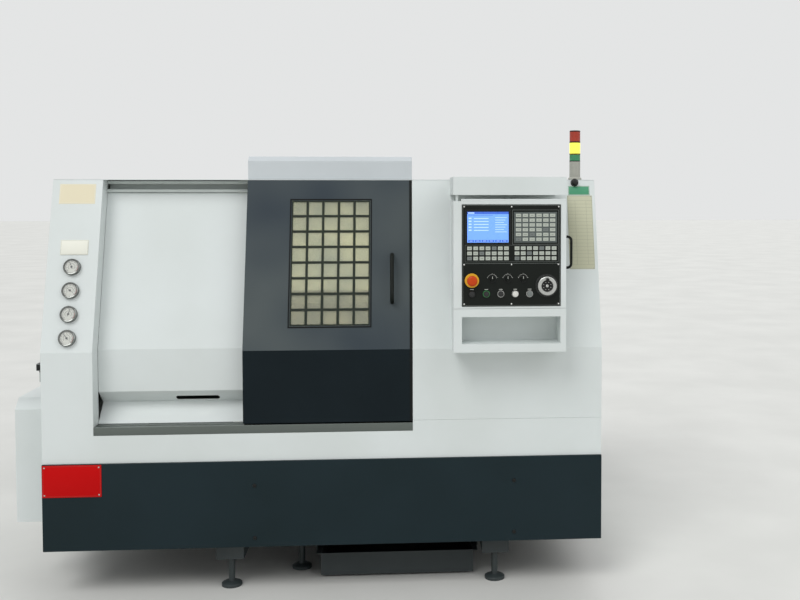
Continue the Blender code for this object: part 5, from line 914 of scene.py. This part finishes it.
def add_key_prints():
    """A pale print with a short plain mark on each key."""
    prints = Shape(PANEL)
    for left, right, bottom, top, columns, rows, front in KEY_GRIDS:
        wide, high = (right - left) / columns, (top - bottom) / rows
        half_wide, half_high = (wide - KEY_GAP) / 2.0 - 0.0006, (high - KEY_GAP) / 2.0 - 0.0006
        for column in range(columns):
            for row in range(rows):
                x, z = left + (column + 0.5) * wide, bottom + (row + 0.5) * high
                cap = "key_cap" if (column * 3 + row * 5) % 11 else "grey_cap"
                prints.slab(cap, x - half_wide, x + half_wide, z - half_high, z + half_high, front,
                            front + 0.0003)
                reach = half_wide * (0.35 + 0.12 * ((column + row) % 3))
                prints.slab("ink", x - reach, x + reach, z - 0.0005, z + 0.0005, front + 0.0003,
                            front + 0.0004)
    prints.make("key_prints", "control_box")


def add_latch(name, place, right, body):
    """A black quarter-turn latch over the plain latch of a door; the place is the middle of its front."""
    latch = Shape(facing(place, right, (0, 0, 1)))
    latch.slab("black", -0.0115, 0.0115, -0.0265, 0.0265, -0.0056, 0.0006, 0.0012)
    latch.turned("steel", [(0.0088, 0.0), (0.0088, 0.0022), (0.0080, 0.0030), (0.0, 0.0030)], steps=36)
    latch.slab("ink", -0.0010, 0.0010, -0.0060, 0.0060, 0.0030, 0.0033)
    latch.make(name, body)


def add_latches():
    """Two latches on the left access door and two on the cabinet's door."""
    for index, z in enumerate(SIDE_LATCH_ZS):
        add_latch(f"side_latch_{index + 1}", at(*SIDE_LATCH_PLACE, z), (0, -1, 0), "access_door")
    for index, z in enumerate(REAR_LATCH_ZS):
        add_latch(f"rear_latch_{index + 1}", at(*REAR_LATCH_PLACE, z), (-1, 0, 0), "cabinet_door")


def add_air_unit():
    """The dark block, smoked bowls, knob and small gauge of the air unit on the left side."""
    upright = Shape(facing(at(*AIR_UNIT_PLACE, 0.0), (1, 0, 0), (0, 1, 0)))
    upright.slab("black", -0.0216, 0.0216, -0.0706, 0.0706, AIR_UNIT_FOOT, AIR_UNIT_TOP, 0.0030)
    for v in (-BOWL_OFFSET, BOWL_OFFSET):
        upright.turned("black", [(0.0192, 0.9648), (0.0192, 0.9560), (0.0184, 0.9540)], 0.0, v, 40)
        upright.turned("bowl", [(0.0184, 0.9560), (0.0184, 0.9135), (0.0095, 0.9044), (0.0, 0.9044)], 0.0, v,
                       40)
        upright.turned("steel", [(0.0050, 0.9046), (0.0050, 0.8990), (0.0, 0.8990)], 0.0, v, 20)

    def ribs(angle):
        return 1.0 - 0.03 * (0.5 + 0.5 * math.cos(20.0 * angle))

    upright.turned("black", [(0.0150, AIR_UNIT_TOP), (0.0150, 1.0160)], 0.0, -BOWL_OFFSET, 120, ribs)
    upright.turned("black", [(0.0148, 1.0160), (0.0132, 1.0178), (0.0, 1.0182)], 0.0, -BOWL_OFFSET, 40)
    upright.make("air_unit_dressed", "frame")
    dial = Shape(facing(at(*AIR_DIAL_PLACE), (0, -1, 0), (0, 0, 1)))
    dial.turned("black", [(0.0135, 0.0), (0.0135, 0.0040), (0.0120, 0.0046), (0.0116, 0.0038)], steps=36)
    dial.turned("dial_white", [(0.0118, 0.0036), (0.0, 0.0036)], steps=36)
    for step in range(9):
        dial.ray_mark("ink", 0.0, 0.0, math.radians(225.0 - 33.75 * step), 0.0088, 0.0106, 0.0005, 0.0036,
                      0.0037)
    dial.ray_mark("ink", 0.0, 0.0, math.radians(120.0), -0.0020, 0.0085, 0.0006, 0.0038, 0.0040)
    dial.make("air_unit_dial", "frame")


TOWER_PLACE = (2.325, 0.240)
TOWER_JOINT = 0.003
LENSES = (("green", 1.8826, 1.915), ("yellow", 1.9156, 1.970), ("red", 1.9706, 2.024))


def add_tower_lenses():
    """Ribbed lenses in their CAD nodes' places; the top one ends in a dark cap."""
    x, y = TOWER_PLACE

    def ribs(angle):
        return 1.0 - 0.025 * (0.5 + 0.5 * math.cos(32.0 * angle))

    for colour, low, top in LENSES:
        lens = Shape(facing(at(x, y, 0.0), (1, 0, 0), (0, 1, 0)))
        slot = f"lens_{colour}"
        crown = top - (0.0060 if colour == "red" else 0.0025)
        lens.turned(slot, [(0.0244, low + TOWER_JOINT), (0.0244, crown)], steps=192, wave=ribs)
        lens.turned(slot, [(0.0, low), (0.0215, low), (0.0215, crown)], steps=32)
        lens.turned("black",
                    [(0.0250, low), (0.0250, low + TOWER_JOINT), (0.0235, low + TOWER_JOINT + 0.0003)],
                    steps=48)
        if colour == "red":
            lens.turned("black", [(0.0246, crown), (0.0246, top - 0.0018), (0.0225, top), (0.0, top)],
                        steps=48)
        else:
            lens.turned("black", [(0.0246, crown), (0.0246, top), (0.0, top)], steps=48)
        lens.make(f"tower_{colour}_dressed", "frame", (f"tower_lens_{colour}",))


def light_up(material, colour, strength):
    """Gives a finish its own glow."""
    shader = material.node_tree.nodes["Principled BSDF"]
    shader.inputs["Emission Color"].default_value = colour
    shader.inputs["Emission Strength"].default_value = strength


add_key_prints()
add_latches()
add_air_unit()
add_tower_lenses()
light_up(FINISH["lens_yellow"], srgb(240, 232, 60), 0.8)

# Camera, from where the photographer stood
CAMERA_PLACE = (0.424, -5.132, 1.737)
CAMERA_AIM = (0.754, -0.640, 1.548)
CAMERA_LENS = 46.0
CAMERA_SHIFT = (-0.10, -0.08)
SENSOR_WIDTH = 36.0
FAR_CLIP = 200.0

camera = bpy.data.objects.new("camera", bpy.data.cameras.new("camera"))
bpy.context.scene.collection.objects.link(camera)
camera.location = CAMERA_PLACE
camera.rotation_mode = "QUATERNION"
camera.rotation_quaternion = (Vector(CAMERA_AIM) - Vector(CAMERA_PLACE)).to_track_quat("-Z", "Y")
camera.data.lens = CAMERA_LENS
camera.data.sensor_width = SENSOR_WIDTH
camera.data.shift_x, camera.data.shift_y = CAMERA_SHIFT
camera.data.clip_end = FAR_CLIP
bpy.context.scene.camera = camera


# Floor, sky and lamps

FLOOR_REACH = 60.0
SKY_COLOUR = (0.96, 0.98, 1.0, 1.0)
SKY_STRENGTH = 0.50
BACKDROP_COLOUR = (0.86, 0.87, 0.87, 1.0)
BACKDROP_STRENGTH = 0.90
SUN_DISTANCE = 8.0
# Azimuth, with 0 from the front and 90 from the right, elevation, power and softness
SUNS = {
    "key_sun": (-34.0, 48.0, 1.35, 0.55),
    "fill_sun": (48.0, 34.0, 0.60, 0.80),
    "back_sun": (168.0, 40.0, 0.75, 0.80),
}


def floor_material():
    """Pale painted concrete."""
    material, tree, shader = new_material("pale_floor")
    patches = spread(tree, noise(tree, 1.4, 5.0), 0.0, 1.0)
    tree.links.new(blend(tree, patches, srgb(214, 214, 210), srgb(207, 207, 203)),
                   shader.inputs["Base Color"])
    shader.inputs["Roughness"].default_value = 0.7
    return material


def add_floor(half_width):
    """The floor, a flat square round the object that belongs to the stage."""
    mesh = bpy.data.meshes.new("floor")
    corners = [(-half_width, -half_width, 0.0), (half_width, -half_width, 0.0),
               (half_width, half_width, 0.0), (-half_width, half_width, 0.0)]
    mesh.from_pydata(corners, [], [(0, 1, 2, 3)])
    floor = bpy.data.objects.new("floor", mesh)
    bpy.context.scene.collection.objects.link(floor)
    mesh.materials.append(floor_material())


def set_world():
    """An even sky that lights the object, and a paler one that the camera and glossy surfaces see."""
    world = bpy.data.worlds.new("studio")
    bpy.context.scene.world = world
    world.use_nodes = True
    tree = world.node_tree
    lit = tree.nodes["Background"]
    lit.inputs["Color"].default_value = SKY_COLOUR
    lit.inputs["Strength"].default_value = SKY_STRENGTH
    seen = tree.nodes.new("ShaderNodeBackground")
    seen.inputs["Color"].default_value = BACKDROP_COLOUR
    seen.inputs["Strength"].default_value = BACKDROP_STRENGTH
    path = tree.nodes.new("ShaderNodeLightPath")
    direct = tree.nodes.new("ShaderNodeMath")
    direct.operation = "MAXIMUM"
    unlit = tree.nodes.new("ShaderNodeMath")
    unlit.operation = "MAXIMUM"
    mix = tree.nodes.new("ShaderNodeMixShader")
    tree.links.new(path.outputs["Is Camera Ray"], direct.inputs[0])
    tree.links.new(path.outputs["Is Glossy Ray"], direct.inputs[1])
    tree.links.new(direct.outputs[0], unlit.inputs[0])
    tree.links.new(path.outputs["Is Transmission Ray"], unlit.inputs[1])
    tree.links.new(unlit.outputs[0], mix.inputs["Fac"])
    tree.links.new(lit.outputs[0], mix.inputs[1])
    tree.links.new(seen.outputs[0], mix.inputs[2])
    tree.links.new(mix.outputs[0], tree.nodes["World Output"].inputs["Surface"])


def add_sun(name, azimuth, elevation, power, softness):
    """A broad lamp far away, aimed at the object from an azimuth and an elevation in degrees."""
    lamp = bpy.data.lights.new(name, "SUN")
    lamp.energy = power
    lamp.angle = softness
    holder = bpy.data.objects.new(name, lamp)
    bpy.context.scene.collection.objects.link(holder)
    turn, rise = math.radians(azimuth), math.radians(elevation)
    towards = Vector((math.sin(turn) * math.cos(rise), -math.cos(turn) * math.cos(rise), math.sin(rise)))
    holder.rotation_mode = "QUATERNION"
    holder.rotation_quaternion = towards.to_track_quat("Z", "Y")
    holder.location = towards * SUN_DISTANCE


add_floor(FLOOR_REACH)
set_world()
for name, numbers in SUNS.items():
    add_sun(name, *numbers)

bpy.context.scene.view_settings.view_transform = "Standard"
